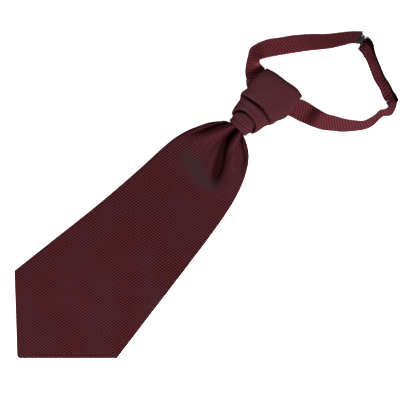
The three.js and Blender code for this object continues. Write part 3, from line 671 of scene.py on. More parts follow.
def rounded_outline():
    """Points once round the block, counterclockwise from above."""
    turns = np.linspace(0, math.pi / 2, CORNER_STEPS)
    points = []
    for k, (right, up) in enumerate(((1, 1), (-1, 1), (-1, -1), (1, -1))):
        x = (CORE["right"] if right > 0 else CORE["left"]) - right * CORE_CORNER
        y = (CORE["high"] if up > 0 else CORE["low"]) - up * CORE_CORNER
        angle = turns + k * math.pi / 2
        points += zip(x + CORE_CORNER * np.cos(angle), y + CORE_CORNER * np.sin(angle))
    return np.array(points)


def core_rings():
    """The block's outline at each level, as points in space."""
    level = np.linspace(0, 1, CORE_LAYERS * CORE_STEPS + 1)
    swell = np.sqrt(np.maximum(1 - (2 * (level * CORE_LAYERS % 1) - 1) ** 2, 0))
    z = CORE["under"] + level * (CORE["over"] - CORE["under"])
    from_cap = np.minimum(z - CORE["under"], CORE["over"] - z)
    inset = CORE_SWELL * (1 - swell) + CORE_CAP * (1 - rolled(from_cap, CORE_CAP))
    middle = np.array([(CORE["left"] + CORE["right"]) / 2, (CORE["low"] + CORE["high"]) / 2])
    outline = rounded_outline()
    size = np.abs(outline - middle).max(axis=0)
    rings = np.array([middle + (outline - middle) * (1 - step / size) for step in inset])
    return np.dstack((rings, np.broadcast_to(z[:, None], rings.shape[:2])))

# %% [markdown]
# A belt of faces joins each two levels of the block, and one face closes each end. Bridging edge loops in
# edit mode makes the same belts in more steps.

# %% The folded layers inside the knot
rings = core_rings()
levels, count = rings.shape[:2]
faces = []
for i in range(levels - 1):
    for j in range(count):
        here, after = i * count + j, i * count + (j + 1) % count
        faces.append([here, after, after + count, here + count])
faces += [list(range(count))[::-1], [(levels - 1) * count + j for j in range(count)]]
points = rings.reshape(-1, 3)
core_mesh = bpy.data.meshes.new("knot_layers")
core_mesh.from_pydata(to_part(points).tolist(), [], faces)
unrolled = np.array([[points[v][0] + points[v][1], points[v][2]] for f in faces for v in f], np.float32)
core_mesh.uv_layers.new(name="cloth").data.foreach_set("uv", unrolled.ravel() * MM)
core_mesh.shade_smooth()
core = bpy.data.objects.new("knot_layers", core_mesh)
bpy.context.scene.collection.objects.link(core)
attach(core, "root")
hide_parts("knot_core")
print(core.name, "faces:", len(core.data.polygons), "layers:", CORE_LAYERS)

# %% [markdown]
# At the left flank one hidden layer stands out between the wrap and the neckband as a small pointed flap.
# It could be pulled out of the block, but it is a single fold with a rolled edge, so it is a wall of its
# own, whose columns reach out furthest in the middle.

# %% The layer that stands out at the left
SIDE_ROWS, SIDE_COLUMNS = 15, 17
SIDE_ROLL = 1.2
SIDE_LAYER = {"x": -26.3, "low": 353.4, "high": 364.6, "under": 16.2, "thick": 1.6}
SIDE_TIP = {"x": -34.8, "y": 358.8, "blunt": 0.7, "lean": 0.4, "droop": 0.5}

side_share, side_across = np.meshgrid(crowded(SIDE_ROWS), crowded(SIDE_COLUMNS), indexing="ij")
side_y = between(SIDE_LAYER["low"], SIDE_LAYER["high"], side_across)
side_reach = np.sin(side_across * math.pi) ** SIDE_TIP["blunt"]
side_grid = np.stack((
    between(SIDE_LAYER["x"], SIDE_TIP["x"], side_share * side_reach),
    between(side_y, SIDE_TIP["y"], side_share * SIDE_TIP["lean"]),
    SIDE_LAYER["under"] + SIDE_LAYER["thick"] - SIDE_TIP["droop"] * side_share**2,
), 2)[:, ::-1]
side_layer = wall_cloth("knot_side_layer_cloth", side_grid, SIDE_LAYER["thick"], SIDE_ROLL)
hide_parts("knot_side_layer")

# %% [markdown]
# The neckband is one long strip, folded to 19.6 mm wide and partly standing on its outer edge. An Array
# modifier along a curve would change its width where it twists. So a table gives both edges as seen from
# above and the outer one's lift, and the inner one stands as high as the strip's width asks.

# %% The two edges of a strap
STRAP_THICK = 1.6
STRAP_WIDTH = 19.6


def unit(vectors):
    return vectors / np.maximum(np.linalg.norm(vectors, axis=-1, keepdims=True), TINY)


def strap_edges(rows):
    """The outer and the inner edge of a strap's underside, in space, at each row of its table."""
    outer = np.array([[r["out_x"], r["out_y"], r["lift"]] for r in rows], float)
    inner = np.array([[r["in_x"], r["in_y"], r["lift"]] for r in rows], float)
    middle = (outer + inner) / 2
    way = np.concatenate((middle[1:], middle[-1:])) - np.concatenate((middle[:1], middle[:-1]))
    way = unit(way * [1, 1, 0])
    across = inner - outer
    square = np.abs(across[:, 0] * way[:, 1] - across[:, 1] * way[:, 0])
    inner[:, 2] += np.sqrt(np.maximum(STRAP_WIDTH**2 - square**2, 0))
    return outer, inner

# %% [markdown]
# Between the rows of its table a strap is followed at close steps. Each step keeps its edges, the way it
# runs and the way it faces, on which the folds and the metal pieces are placed further down.

# %% Following a strap
STRAP_STEP = 1.6
STRAP_ENDS_CROWDED = 0.25


def strap_frames(rows):
    """Edges, way and upward normal at close steps along a strap, and the table row each step is at."""
    outer, inner = strap_edges(rows)
    middle = (outer + inner) / 2
    place = np.concatenate(([0], np.cumsum(np.linalg.norm(np.diff(middle, axis=0), axis=1))))
    count = int(place[-1] / STRAP_STEP) + 2
    at = crowded(count, STRAP_ENDS_CROWDED) * place[-1]
    outer, inner = spline(place, outer)(at), spline(place, inner)(at)
    way = unit(np.gradient((outer + inner) / 2, axis=0))
    normal = unit(np.cross(inner - outer, way))
    normal *= np.where(normal[:, 2:] < 0, -1, 1)
    row = np.interp(at, place, np.arange(len(place)))
    hump = spline(place, [r.get("hump", 0) for r in rows])(at)[:, 0]
    return {"outer": outer, "inner": inner, "way": way, "normal": normal, "row": row, "hump": hump}

# %% [markdown]
# A row of points runs across the strap from edge to edge. Where the real strap stands on its edge it
# bulges. The curve below says how far, as a share of the row's own hump.

# %% Rows across a strap
STRAP_COLUMNS = 21
STRAP_SIDES_CROWDED = 0.75
BULGE = table("share rise", (0, 0), (0.12, 0.6), (0.27, 0.97), (0.4, 1), (0.7, 0.55), (1, 0))


def strap_rows(frames, raised, ahead=0.0):
    """Rows of points across a strap, raised off its underside, with the bulge that its tables ask for."""
    share = crowded(STRAP_COLUMNS, STRAP_SIDES_CROWDED)[None, :, None]
    outer, inner = frames["outer"][:, None], frames["inner"][:, None]
    lift = np.asarray(raised, float).reshape(-1, 1, 1)
    forward = np.asarray(ahead, float).reshape(-1, 1, 1)
    rows = between(outer, inner, share) + frames["normal"][:, None] * lift + frames["way"][:, None] * forward
    rows[..., 2] += frames["hump"][:, None] * curve(BULGE, "share", "rise")(share[..., 0])
    return rows

# %% [markdown]
# The left stretch comes out of the knot, turns sharply and runs up to the eye. At the turn it is folded
# over itself, so it gets narrow dents as creases and one soft swelling. A simulation would place others.
# The last row lies a little further on than the solid's, under the eye, as the real end is folded round the
# eye's bar.

# %% The neckband's left stretch
STRAP_ROLL = 1.5
LEFT_STRAP = table(
    "out_x out_y in_x in_y lift",
    (-26.5, 354.6, -26.5, 377.4, 8.6), (-34, 358.6, -30, 380.2, 7.6), (-40, 362.8, -34.4, 380.4, 5.4),
    (-45.2, 369.8, -37.2, 381, 2.8), (-50, 377.2, -38.6, 382.2, 0.8), (-53.2, 382.6, -38.6, 383.5, 0),
    (-54, 387, -38.1, 384.7, 0), (-53, 391.2, -37.4, 386, 0), (-51, 396.8, -36.2, 388.2, 0),
    (-48.2, 403, -34, 391.8, 0), (-41.4, 412, -27.8, 400.4, 0), (-32.3, 424.9, -18.4, 413.4, 0),
    (-21.3, 437.1, -8.8, 425.8, 0), (-9.3, 449.1, 3.2, 440.6, 0), (-1.3, 458.9, 10.2, 451.6, 0),
    (6.4, 468.2, 14.2, 458.3, 0), (13.9, 475.5, 20.4, 463.8, 0),
)
LEFT_DENTS = table(
    "x y long wide turn high",
    (-47.4, 383.6, 8.5, 1.1, -20, -1.7), (-46.4, 386.6, 8, 1.8, -18, 0.9), (-32, 371.5, 7, 1.3, 62, -1.5),
    (-36, 377, 5, 1.3, 20, -1.1), (-20, 420, 9, 5, 130, 0.7),
)


def dented_strap(rows, dents):
    grid = strap_rows(strap_frames(rows), STRAP_THICK)
    grid[..., 2] += dent_height(grid[..., 0], grid[..., 1], dents)
    grid[..., 2] = np.maximum(grid[..., 2], STRAP_THICK)
    return grid


def strap_cloth(name, grid, node):
    piece = wall_cloth(name, grid, STRAP_THICK, STRAP_ROLL)
    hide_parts(node)
    return piece


left_grid = dented_strap(LEFT_STRAP, LEFT_DENTS)
left_strap = strap_cloth("neckband_left_cloth", left_grid, "neckband_left")

# %% [markdown]
# The right stretch leaves the knot lower down, rises and falls in one soft hollow, and turns round the
# corner into the slider. It is made as the left one is, and its end too goes on under the metal.

# %% The neckband's right stretch
RIGHT_STRAP = table(
    "out_x out_y in_x in_y lift",
    (13.8, 361.4, 13.8, 381.4, 8.5), (21.6, 364.2, 19, 385, 6.8), (30, 366.8, 25.2, 387.2, 3),
    (38, 369.8, 32.6, 388.8, 2.6), (46, 373, 39.6, 390.6, 4.4), (54, 377.8, 46.6, 392.8, 1.4),
    (62, 384.6, 54, 397.2, 0), (70, 392.2, 61.8, 401.4, 0), (78, 401.8, 70.4, 407.6, 0),
    (83.4, 409.6, 76, 412.6, 0), (86, 418, 79, 420.4, 0), (86, 425.4, 80.2, 427, 0),
    (86.8, 431.2, 80.2, 431.8, 0), (91.4, 437.2, 82.8, 435.8, 0.4), (91, 442.6, 83.8, 438.4, 0.8),
    (85.6, 451.2, 83.2, 440.6, 0.2),
)
RIGHT_DENTS = table(
    "x y long wide turn high",
    (18.6, 377, 8, 1.4, 98, -2.2), (30.5, 377.5, 14, 5, 105, -2), (44.2, 382, 14, 6.5, 108, 4.8),
    (60, 391, 10, 4, 128, 0.8),
)

right_grid = dented_strap(RIGHT_STRAP, RIGHT_DENTS)[::-1]
right_strap = strap_cloth("neckband_right_cloth", right_grid, "neckband_right")

# %% [markdown]
# The strip comes back from the slider to the hook in two layers, nearly upright, and bulges outwards. Two
# straps one on the other could stand for them. Here it is one cloth, a lower and an upper set of rows,
# which spread apart at the hook's bar and at the slider's frame.

# %% The doubled stretch
RETURN_STRAP = table(
    "out_x out_y in_x in_y lift hump",
    (81.5, 451.1, 79, 441.2, 1.5, 0), (76.4, 452.8, 73.4, 442.6, 0.6, 3.4),
    (69.6, 455.2, 66.4, 445.6, 0, 5.2), (59.6, 457.4, 56.2, 448, 0, 4.6),
    (49.6, 461.4, 45.6, 452.4, 0, 5.6), (41.6, 464.8, 37, 456.2, 0, 4.8),
    (33.7, 469, 29.6, 458.2, 0, 4.2), (28.6, 472.2, 28, 458.6, 0.8, 1.6),
    (23, 472.8, 24.8, 458.6, 1.6, 0),
)
SEAM = 0.3
METAL_WIRE = 1.2
FOLD_BAR = 1.5
FOLD_OPEN = 2 * STRAP_THICK + FOLD_BAR + 2 * SEAM
FOLD_STEPS = 10
SLIDER = {"long": 23.2, "wide": 4.2}
SLIDER_HIGH = STRAP_THICK + 0.6
SLEEVE = {"steps": 5, "rows": 1.3, "up": 1.2, "down": 0.2, "end": 0.5}
HOOK_ROWS = 2

return_frames = strap_frames(RETURN_STRAP)
last_row = len(RETURN_STRAP) - 1
beside_slider = 1 - smooth(return_frames["row"], 0, SLEEVE["rows"])
opening = smooth(return_frames["row"], last_row - HOOK_ROWS, last_row)
apart = between(2 * STRAP_THICK + SEAM, FOLD_OPEN, opening) + SLEEVE["up"] * beside_slider
lower = strap_rows(return_frames, -SLEEVE["down"] * beside_slider)
upper = strap_rows(return_frames, apart)[::-1]
print("rows in a layer:", len(lower), "layers apart mm:", apart.min().round(1), "to", apart.max().round(1))

# %% [markdown]
# At the hook the cloth turns round the bar in a half circle. At the slider it wraps the frame and ends
# underneath, so its end doesn't show. A Bend modifier could turn the ends, but rows that go round by their
# angle join the layers without a seam.

# %% Its turns round the hook's bar and the slider
def past_end(end, count):
    """The frames at one end of the strap, as often as rows go on past it."""
    return {key: np.repeat(value[end:][:1], count, axis=0) for key, value in return_frames.items()}


def strap_fold(end, side, low, high, reach):
    """Rows that turn from the lower to the upper layer past one end of a strap. side is 1 ahead of it."""
    turn = np.linspace(0, math.pi, FOLD_STEPS + 2)[1:-1]
    radius = (high - low) / 2
    raised = low + radius - radius * np.cos(turn)
    return strap_rows(past_end(end, FOLD_STEPS), raised, ahead=side * (reach + radius * np.sin(turn)))


hook_fold = strap_fold(-1, 1, 0, FOLD_OPEN, 0)
far_bar = SEAM + SLIDER["wide"] - METAL_WIRE / 2
sleeve_out = np.linspace(0, far_bar, SLEEVE["steps"] + 1)[1:]
first = past_end(0, SLEEVE["steps"])
sleeve_top = strap_rows(first, apart[0], ahead=-sleeve_out)
sleeve_fold = strap_fold(0, -1, -SLEEVE["down"], apart[0], far_bar)[::-1]
under_out = np.linspace(far_bar, SLEEVE["end"], SLEEVE["steps"])
sleeve_under = strap_rows(first, -SLEEVE["down"], ahead=-under_out)
return_grid = np.concatenate((lower, hook_fold, upper, sleeve_top, sleeve_fold, sleeve_under))
return_strap = strap_cloth("neckband_return_cloth", return_grid, "neckband_return")

# %% [markdown]
# A metal piece lies square to the end of the strap that holds it, so its place comes from the strap. Each
# is drawn flat at the origin, where its sizes are easy to read. One matrix turns its mesh into place, and
# the object stays at the origin, as the frame asks.

# %% Where a metal piece sits
def end_matrix(frames, which, forward, raised):
    """A metal piece's place on a strap's end: X across the strap, Y along its way and Z out of its face."""
    outer, inner, normal, way = (Vector(frames[key][which]) for key in ("outer", "inner", "normal", "way"))
    across = (inner - outer).normalized()
    along = normal.cross(across).normalized()
    if along.dot(way) < 0:
        across, along = -across, -along
    middle = (outer + inner) / 2 + along * forward + normal * raised
    matrix = Matrix((across, along, normal)).transposed().to_4x4()
    matrix.translation = middle
    return matrix


def place_in_part(piece, matrix):
    """Moves a piece drawn in millimetres at the origin to its place, in its mesh."""
    piece.data.transform(matrix)
    piece.data.transform(Matrix.Translation(Vector(TIP_IN_PART)))
    piece.data.transform(Matrix.Scale(MM, 4))
    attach(piece, "root")

# %% [markdown]
# The metal pieces are shaped with Blender's own editing tools, as a maker bends and files them. A table of
# points would do too, but a bevel and a spin are nearer to the real work. The tools act on what is
# selected, so these helpers select a piece, go into edit mode and clean up on the way out.

# %% Drawing in edit mode
WELD = 0.01


def only(piece):
    """Deselects everything and makes one object the active, selected one."""
    bpy.ops.object.select_all(action="DESELECT")
    piece.select_set(True)
    bpy.context.view_layer.objects.active = piece


def new_plane(size, **place):
    bpy.ops.object.select_all(action="DESELECT")
    bpy.ops.mesh.primitive_plane_add(size=size, **place)
    return bpy.context.active_object


def edit(piece):
    """Goes into edit mode with one object's whole mesh selected."""
    only(piece)
    bpy.ops.object.mode_set(mode="EDIT")
    bpy.ops.mesh.select_all(action="SELECT")


def weld():
    """Merges doubled corners, turns all faces outwards and leaves edit mode."""
    bpy.ops.mesh.select_all(action="SELECT")
    bpy.ops.mesh.remove_doubles(threshold=WELD)
    bpy.ops.mesh.normals_make_consistent(inside=False)
    bpy.ops.object.mode_set(mode="OBJECT")

# %% [markdown]
# Eye and slider are bent from round wire. A torus has no straight sides, so each starts as a flat
# rectangle: a vertex bevel rounds its corners, only its outline is kept, and as a curve it gets the wire's
# thickness. The eye lies where the hook's tongue goes through.

# %% The eye and the slider, bent from wire
EYE = {"long": 15, "wide": 4.6}
TONGUE = {"wide": 11, "reach": 7.35, "climb": 1.5, "curl": 1.4, "tail": 1, "steps": 10, "edge": 0.25}
CORNER_SEGMENTS = 5
WIRE_ROUND = 3


def wire_loop(name, long, wide):
    """A closed loop of round wire, its middle at the origin, in millimetres."""
    piece = new_plane(1)
    piece.name = name
    piece.data.transform(Matrix.Diagonal((long - METAL_WIRE, wide - METAL_WIRE, 1, 1)))
    edit(piece)
    bpy.ops.mesh.bevel(offset=METAL_WIRE, segments=CORNER_SEGMENTS, affect="VERTICES")
    bpy.ops.mesh.select_all(action="SELECT")
    bpy.ops.mesh.delete(type="ONLY_FACE")
    bpy.ops.object.mode_set(mode="OBJECT")
    bpy.ops.object.convert(target="CURVE")
    piece = bpy.context.active_object
    piece.data.bevel_depth = METAL_WIRE / 2
    piece.data.bevel_resolution = WIRE_ROUND
    bpy.ops.object.convert(target="MESH")
    piece = bpy.context.active_object
    edit(piece)
    weld()
    piece.data.shade_smooth()
    return piece


eye = wire_loop("eye_wire", EYE["long"], EYE["wide"])
eye_ahead = TONGUE["reach"] + (EYE["wide"] - METAL_WIRE) / 2
place_in_part(eye, end_matrix(return_frames, -1, eye_ahead, FOLD_OPEN / 2 + TONGUE["climb"]))
slider = wire_loop("slider_wire", SLIDER["long"], SLIDER["wide"])
place_in_part(slider, end_matrix(return_frames, 0, -(SEAM + SLIDER["wide"] / 2), SLIDER_HIGH))

# %% [markdown]
# The hook is such a loop with a flat tongue that goes up through the eye and curls back over its bar. A
# small upright rectangle is extruded, spun into the curl and extruded again, its edges are softened and it
# is joined to the wire. A bent sheet would have no thickness where it meets the wire.

# %% The hook and its tongue
HOOK = {"long": 23.4, "clear": 0.05, "wires": 1.5}


def tongue_strip(start):
    """The hook's flat tongue: a strip along +Y that curls up and back over the eye's bar."""
    piece = new_plane(1)
    section = Matrix.Translation((0, start, 0)) @ Matrix.Rotation(math.pi / 2, 4, "X")
    piece.data.transform(section @ Matrix.Diagonal((TONGUE["wide"], METAL_WIRE, 1, 1)))
    edit(piece)
    rise = TONGUE["climb"] + TONGUE["curl"] + METAL_WIRE / 2
    bpy.ops.mesh.extrude_region_move(TRANSFORM_OT_translate={"value": (0, TONGUE["reach"] - start, rise)})
    curl_at = (0, TONGUE["reach"], TONGUE["climb"])
    bpy.ops.mesh.spin(steps=TONGUE["steps"], angle=-math.pi, center=curl_at, axis=(1, 0, 0))
    bpy.ops.mesh.extrude_region_move(TRANSFORM_OT_translate={"value": (0, -TONGUE["tail"], 0)})
    weld()
    bevel = piece.modifiers.new("soft edges", "BEVEL")
    bevel.width = TONGUE["edge"]
    bevel.segments = 2
    bevel.limit_method = "ANGLE"
    bpy.ops.object.modifier_apply(modifier=bevel.name)
    return piece


hook_wide = FOLD_OPEN / 2 + HOOK["clear"] + HOOK["wires"] * METAL_WIRE
hook = wire_loop("hook_wire", HOOK["long"], hook_wide)
hook.data.transform(Matrix.Translation((0, hook_wide / 2 - METAL_WIRE / 2, 0)))
tongue = tongue_strip(hook_wide - METAL_WIRE)
only(hook)
join = hook.modifiers.new("with tongue", "BOOLEAN")
join.operation = "UNION"
join.solver = "EXACT"
join.object = tongue
bpy.ops.object.modifier_apply(modifier=join.name)
bpy.data.objects.remove(tongue)
hook.data.shade_smooth()
place_in_part(hook, end_matrix(return_frames, -1, 0, FOLD_OPEN / 2))

# %% [markdown]
# Wire looks round only when its faces are shaded smooth, while the tongue keeps its edges. Smoothing by
# angle does both: faces that meet at less than the angle are blended.

# %% Smooth wire, crisp edges
SMOOTH_BELOW = math.radians(40)
for metal_piece, node in ((eye, "eye"), (hook, "hook"), (slider, "slider")):
    only(metal_piece)
    bpy.ops.object.shade_smooth_by_angle(angle=SMOOTH_BELOW)
    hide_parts(node)
    print(metal_piece.name, "faces:", len(metal_piece.data.polygons))

# %% [markdown]
# Materials are built from nodes in code, because the script reads no picture. This small class keeps that
# readable: a call adds one node with its inputs and gives back what comes out of it, ready for the next.

# %% A short way to write nodes
class Nodes:
    """A short way to write a node tree: each call adds a node and gives back its first output."""

    def __init__(self, name):
        self.material = bpy.data.materials.new(name)
        self.material.use_nodes = True
        self.tree = self.material.node_tree
        self.shader = self.tree.nodes["Principled BSDF"]

    def add(self, kind, inputs=(), output=0, **settings):
        node = self.tree.nodes.new("ShaderNode" + kind)
        for key, value in settings.items():
            setattr(node, key, value)
        self.fill(node, dict(inputs))
        return node.outputs[output]

    def fill(self, node, inputs):
        """Sets a node's inputs, and links those whose value comes out of another node."""
        for key, value in inputs.items():
            if isinstance(value, bpy.types.NodeSocket):
                self.tree.links.new(value, node.inputs[key])
            else:
                node.inputs[key].default_value = value

    def surface(self, inputs):
        self.fill(self.shader, inputs)

    def math(self, operation, *values):
        return self.add("Math", enumerate(values), operation=operation)

    def mix(self, share, low, high):
        return self.add("Mix", {0: share, 6: low, 7: high}, output=2, data_type="RGBA")

    def noise(self, place, size, output=0):
        return self.add("TexNoise", {"Vector": place, **size}, output=output)

    def ranged(self, value, limits, **settings):
        return self.add("MapRange", {"Value": value, **limits}, **settings)

# %% [markdown]
# The silk is woven from two yarns, one near black and one burgundy, in small staggered spots, so from afar
# it is dark wine red with a fine grain. An image is the usual way to draw it. Here the spots are the
# product of two cosines on the cloth's own UV map, finer cosines stand for the yarns, and a slow noise
# drifts the weave, as real cloth is never pulled quite even.

# %% The weave
SPOT_WIDE = 4.26
SPOT_HIGH = 3.0
YARNS_PER_SPOT = 8
WEAVE_DRIFT = 7.0
DRIFT_NOISE = {"Scale": 9, "Detail": 1}


def weave_places(n, grain_turn):
    """How far a point is across and along the weave, in millimetres, and its place in the part."""
    uv = n.add("UVMap", uv_map="cloth")
    turn = {"Vector": uv, "Rotation": (0, 0, math.radians(grain_turn)), "Scale": (1 / MM, 1 / MM, 1)}
    turned = n.add("Mapping", turn)
    place = n.add("TexCoord", output=3)
    drift = n.noise(place, DRIFT_NOISE, output=1)
    moved = {0: drift, 1: (WEAVE_DRIFT,) * 3, 2: turned}
    split = n.add("SeparateXYZ", {0: n.add("VectorMath", moved, operation="MULTIPLY_ADD")})
    return split, split.node.outputs[1], place


def weave_waves(n, across, along, per_spot):
    """A wave across and a wave along the weave, with so many of each in a spot."""
    waves = []
    for way, size in ((across, SPOT_WIDE), (along, SPOT_HIGH)):
        waves.append(n.math("COSINE", n.math("MULTIPLY", way, 2 * math.pi * per_spot / size)))
    return waves

# %% [markdown]
# Silk is darker between its yarns and fibres. Painted shade darkens the depth of a fold and one side of the
# doubled stretch, nearly to black, and a painted highlight lightens a fold's crest. These could be painted
# into an image, but as factors that are multiplied, each can be changed alone.

# %% How light the silk is
BAND_FADE = 1.5
BAND_SHARE = 0.12
FIBRE_NOISE = {"Scale": 700, "Detail": 2}
YARN_SHADE = (0.06, 0.88)
FIBRE_SHADE = (0.36, 0.82)


def silk_shade(n, yarns, place, across, painted_shade_band, with_painted_fold_shade):
    """How light the silk is: yarns, fibres, painted shade on its band, painted light and shade on folds."""
    fibre = n.noise(place, FIBRE_NOISE)
    fibre_shade = n.math("MULTIPLY_ADD", fibre, *FIBRE_SHADE)
    shade = n.math("MULTIPLY", n.math("MULTIPLY_ADD", yarns, *YARN_SHADE), fibre_shade)
    # Painted shade: the doubled stretch's outer side is darkened nearly to black.
    if painted_shade_band:
        limits = {"From Min": painted_shade_band - BAND_FADE, "From Max": painted_shade_band, "To Min": BAND_SHARE}
        shade = n.math("MULTIPLY", shade, n.ranged(across, limits))
    # Painted light and shade of the folds, stored on the blade's corners.
    if with_painted_fold_shade:
        painted_fold_shade_value = n.add("Attribute", output=2, attribute_name="painted_fold_shade")
        shade = n.math("MULTIPLY", shade, painted_fold_shade_value)
    return n.add("CombineXYZ", {0: shade, 1: shade, 2: shade})

# %% [markdown]
# A piece's look is its two yarns' colours, the turn of its weave, and a tint that slow noise leans it
# towards. The spots are clearer in some patches. The specular is off: silk this dark shows mostly its own
# colour, and a glossy shader would mirror the white table along every fold.

# %% The silk
# A greyish tint mixed in where the silk is pressed: painted sheen.
PAINTED_SHEEN_TINT = (0.025, 0.0125, 0.0155, 1)
PAINTED_SHEEN_MOST = 0.7
SPOT_RANGE = {"From Min": -0.45, "From Max": 0.55}
CLEAR_RANGE = {"From Min": 0.4, "From Max": 0.58, "To Min": 0.7, "To Max": 1.35}
TINT_RANGE = {"From Min": 0.35, "From Max": 0.7, "To Max": 0.4}
PATCH_NOISE = {"Scale": 15, "Detail": 2}
TINT_NOISE = {"Scale": 26, "Detail": 3}
SILK_ROUGH = (-0.12, 0.56)
SPOT_RELIEF = 0.5
YARN_RELIEF = 0.2
SILK_RELIEF = {"Strength": 0.55, "Distance": 0.12 * MM}


def silk(name, dark, light, grain_turn, tint, painted_shade_band=0.0, with_painted_fold_shade=False):
    """Two-yarn silk. painted_shade_band is how wide its side darkened by painted shade is, in millimetres.
    """
    n = Nodes(name)
    across, along, place = weave_places(n, grain_turn)
    spots = n.math("MULTIPLY", *weave_waves(n, across, along, 1))
    yarns = n.math("ADD", *weave_waves(n, across, along, YARNS_PER_SPOT))
    spot_share = n.ranged(spots, SPOT_RANGE, interpolation_type="SMOOTHSTEP")
    clear = n.ranged(n.noise(place, PATCH_NOISE), CLEAR_RANGE)
    soft_share = n.math("MULTIPLY_ADD", n.math("SUBTRACT", spot_share, 0.5), clear, 0.5)
    woven = n.mix(soft_share, (*dark, 1), (*light, 1))
    leaning = n.mix(n.ranged(n.noise(place, TINT_NOISE), TINT_RANGE), woven, (*tint, 1))
    # Painted sheen on the pressed silk under the gather.
    pressed = n.add("Attribute", output=2, attribute_name="pressed")
    tinted = n.mix(n.math("MULTIPLY", pressed, PAINTED_SHEEN_MOST), leaning, PAINTED_SHEEN_TINT)
    shade = silk_shade(n, yarns, place, across, painted_shade_band, with_painted_fold_shade)
    relief = n.math("MULTIPLY_ADD", spots, SPOT_RELIEF, n.math("MULTIPLY", yarns, YARN_RELIEF))
    n.surface({
        "Base Color": n.add("VectorMath", {0: tinted, 1: shade}, operation="MULTIPLY"),
        "Roughness": n.math("MULTIPLY_ADD", spot_share, *SILK_ROUGH),
        "Specular IOR Level": 0,
        "Normal": n.add("Bump", {"Height": relief, **SILK_RELIEF}),
    })
    return n.material

# %% [markdown]
# Eye, hook and slider are blackened metal, a little worn in fine patches. A metallic shader would mirror the
# white table and look like bright steel, so the surface is a dark, half rough coat with fine noise in its
# colour, gloss and relief.

# %% The blackened metal
METAL_DARK = (0.004, 0.004, 0.0045, 1)
METAL_WORN = (0.018, 0.016, 0.017, 1)
METAL_ROUGH = (0.3, 0.42)
METAL_SHINE = 0.08
WORN_NOISE = {"Scale": 420, "Detail": 4}
WORN_RELIEF = {"Strength": 0.3, "Distance": 0.05 * MM}


def dark_metal(name):
    n = Nodes(name)
    worn = n.noise(n.add("TexCoord", output=3), WORN_NOISE)
    n.surface({
        "Base Color": n.mix(worn, METAL_DARK, METAL_WORN),
        "Metallic": 0,
        "Specular IOR Level": METAL_SHINE,
        "Roughness": n.math("MULTIPLY_ADD", worn, *METAL_ROUGH),
        "Normal": n.add("Bump", {"Height": worn, **WORN_RELIEF}),
    })
    return n.material

# %% [markdown]
# All cloth is the same silk, but it lies at other angles to the light and is stretched differently. One
# material could be shared, but a few sets of dark yarn, light yarn, turn of the weave and tint follow the
# real piece more closely. The left strap's set is lighter as painted light, for a face that tilts away from
# the lamp, and the knot's sets hold a little painted grey sheen. The blade's and the knot's weave is turned
# to the bias, and the straps' runs straight.

# %% Which piece has which finish
SILKS = {
    "blade": ((0.008, 0.0024, 0.0032), (0.07, 0.012, 0.0155), -42, (0.03, 0.012, 0.015)),
    # Both knot sets: the silk's own colour with a little painted grey sheen in it.
    "knot": ((0.023, 0.0065, 0.0088), (0.08, 0.018, 0.023), -45, (0.044, 0.018, 0.023)),
    "knot body": ((0.034, 0.009, 0.012), (0.068, 0.0158, 0.02), -45, (0.044, 0.018, 0.023)),
    # Painted light: lighter yarns, as this strap's face tilts away from the lamp.
    "left strap": ((0.013, 0.0034, 0.005), (0.2, 0.034, 0.045), 0, (0.054, 0.016, 0.02)),
    "right strap": ((0.008, 0.0022, 0.0032), (0.13, 0.0235, 0.031), 0, (0.034, 0.011, 0.014)),
}
# How wide the doubled stretch's side with painted shade is, in millimetres.
PAINTED_SHADE_BAND_WIDE = 13.2
BLADE_SILK = silk("blade silk", *SILKS["blade"], with_painted_fold_shade=True)
KNOT_SILK = silk("knot silk", *SILKS["knot"])
BODY_SILK = silk("knot body silk", *SILKS["knot body"])
LEFT_SILK_PAINTED_LIGHT = silk("left neckband silk painted lighter", *SILKS["left strap"])
RIGHT_SILK = silk("right neckband silk", *SILKS["right strap"])
RETURN_SILK = silk("doubled neckband silk", *SILKS["right strap"], painted_shade_band=PAINTED_SHADE_BAND_WIDE)
METAL = dark_metal("dark metal")
for piece, finish in (
    (blade, BLADE_SILK), (ring, KNOT_SILK), (wrap, KNOT_SILK), (body, BODY_SILK), (core, KNOT_SILK),
    (side_layer, KNOT_SILK), (left_strap, LEFT_SILK_PAINTED_LIGHT), (right_strap, RIGHT_SILK),
    (return_strap, RETURN_SILK), (eye, METAL), (hook, METAL), (slider, METAL),
):
    piece.data.materials.clear()
    piece.data.materials.append(finish)
    print(piece.name, "in", finish.name)

# %% [markdown]
# Each cloth's area is printed against the size it was cut to, folded as it lies here. A loop is given all
# the way round, and the blade, which isn't a rectangle, with the area of its cut. The block inside the knot
# stands for one long strip folded over and over: what shows of it is given.

# %% What each cloth was cut to
def face_area(piece):
    """Half the area of a closed skin, in square metres: the area of one of its faces."""
    return sum(face.area for face in piece.data.polygons) / 2


BLADE_CUT = 0.0305
CUTS = [
    (blade, (0.1346, 0.336), "laid", [], BLADE_CUT),
    (ring, (0.075, 0.0208), "gathered", [blade], None),
    (wrap, (0.106, 0.018), "folded", [ring], None),
    (body, (0.047, 0.092), "folded", [core, wrap], None),
    (core, (0.039, 0.066), "folded", [body], None),
    (side_layer, (0.0112, 0.0102), "folded", [core], None),
    (left_strap, (0.0196, 0.152), "folded", [], None),
    (right_strap, (0.0196, 0.126), "folded", [], None),
    (return_strap, (0.0196, 0.146), "folded", [], None),
]
for piece, flat, held, lies_on, cut_area in CUTS:
    cut = cut_area or flat[0] * flat[1]
    face = face_area(piece)
    print(piece.name, "one face m2:", round(face, 6), "of the cut:", round(face / cut, 3))

# %% [markdown]
# The table is bright white paper with almost no shadow. A curved backdrop isn't needed, because the camera
# sees only the table. The plane shines a little by itself, so it stays white under the pieces too, as a
# light table would.

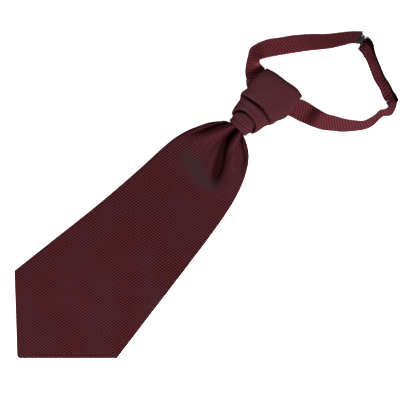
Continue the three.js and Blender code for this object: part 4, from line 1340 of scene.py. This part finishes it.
# %% The floor
FLOOR_WIDE = 8
FLOOR_DOWN = 0.2 * MM
WHITE = (1, 1, 1, 1)
PAPER = {
    "Base Color": (0.92, 0.92, 0.92, 1), "Roughness": 0.9, "Specular IOR Level": 0.1,
    "Emission Color": WHITE, "Emission Strength": 0.9,
}
floor = new_plane(FLOOR_WIDE, location=(0, 0, -FLOOR_DOWN))
floor.name = "floor"
paper = Nodes("white paper")
paper.surface(PAPER)
floor.data.materials.append(paper.material)
print("floor below the part mm:", FLOOR_DOWN / MM)

# %% [markdown]
# The main light stands high at the lower right of the picture, and two weak ones soften the other sides. A
# sun lamp would give hard shadows, so they are broad discs, like a studio's soft boxes, and a pale sky
# fills in the rest. The standard view transform keeps white paper white.

# %% The light
SKY = 0.25
world = bpy.data.worlds.new("soft room")
world.use_nodes = True
sky = world.node_tree.nodes["Background"].inputs
sky["Color"].default_value = WHITE
sky["Strength"].default_value = SKY
bpy.context.scene.world = world
bpy.context.scene.view_settings.view_transform = "Standard"
LIGHT_AIM = (0, 0.03, 0)
LIGHTS = table(
    "name place size power",
    ("key from the right", (1.35, -0.75, 1.5), 0.7, 102),
    ("fill from the left", (-1.5, 0.3, 1.5), 1.2, 12),
    ("fill from the tip", (0.2, -1.5, 1.5), 1.2, 12),
)
for row in LIGHTS:
    light = bpy.data.lights.new(row["name"], "AREA")
    light.shape = "DISK"
    light.size = row["size"]
    light.energy = row["power"]
    lamp = bpy.data.objects.new(row["name"], light)
    lamp.location = row["place"]
    lamp.rotation_euler = (Vector(LIGHT_AIM) - Vector(row["place"])).to_track_quat("-Z", "Y").to_euler()
    bpy.context.scene.collection.objects.link(lamp)
    print(light.name, "watts:", light.energy)

# %% [markdown]
# The camera looks straight down through a long lens, from so far that the high knot isn't drawn larger than
# the flat blade, and is turned so that the blade points to the lower left. An orthographic camera would be
# nearly the same, but a lens is what the picture was taken with.

# %% The camera
PHOTO_WIDTH = 0.4
LENS = 350
SENSOR = 36
CAMERA_TURN = 45
SEEN_TO = 20
PHOTO_CENTRE = to_part((17.3, 241.5, 6.0))
camera_high = PHOTO_WIDTH * LENS / SENSOR
camera_data = bpy.data.cameras.new("camera")
camera_data.lens = LENS
camera_data.sensor_width = SENSOR
camera_data.clip_end = SEEN_TO
camera = bpy.data.objects.new("camera", camera_data)
camera.location = Vector(PHOTO_CENTRE) + Vector((0, 0, camera_high))
camera.rotation_euler = (0, 0, math.radians(CAMERA_TURN))
bpy.context.scene.collection.objects.link(camera)
bpy.context.scene.camera = camera
print("camera above the part m:", round(camera_high, 2))
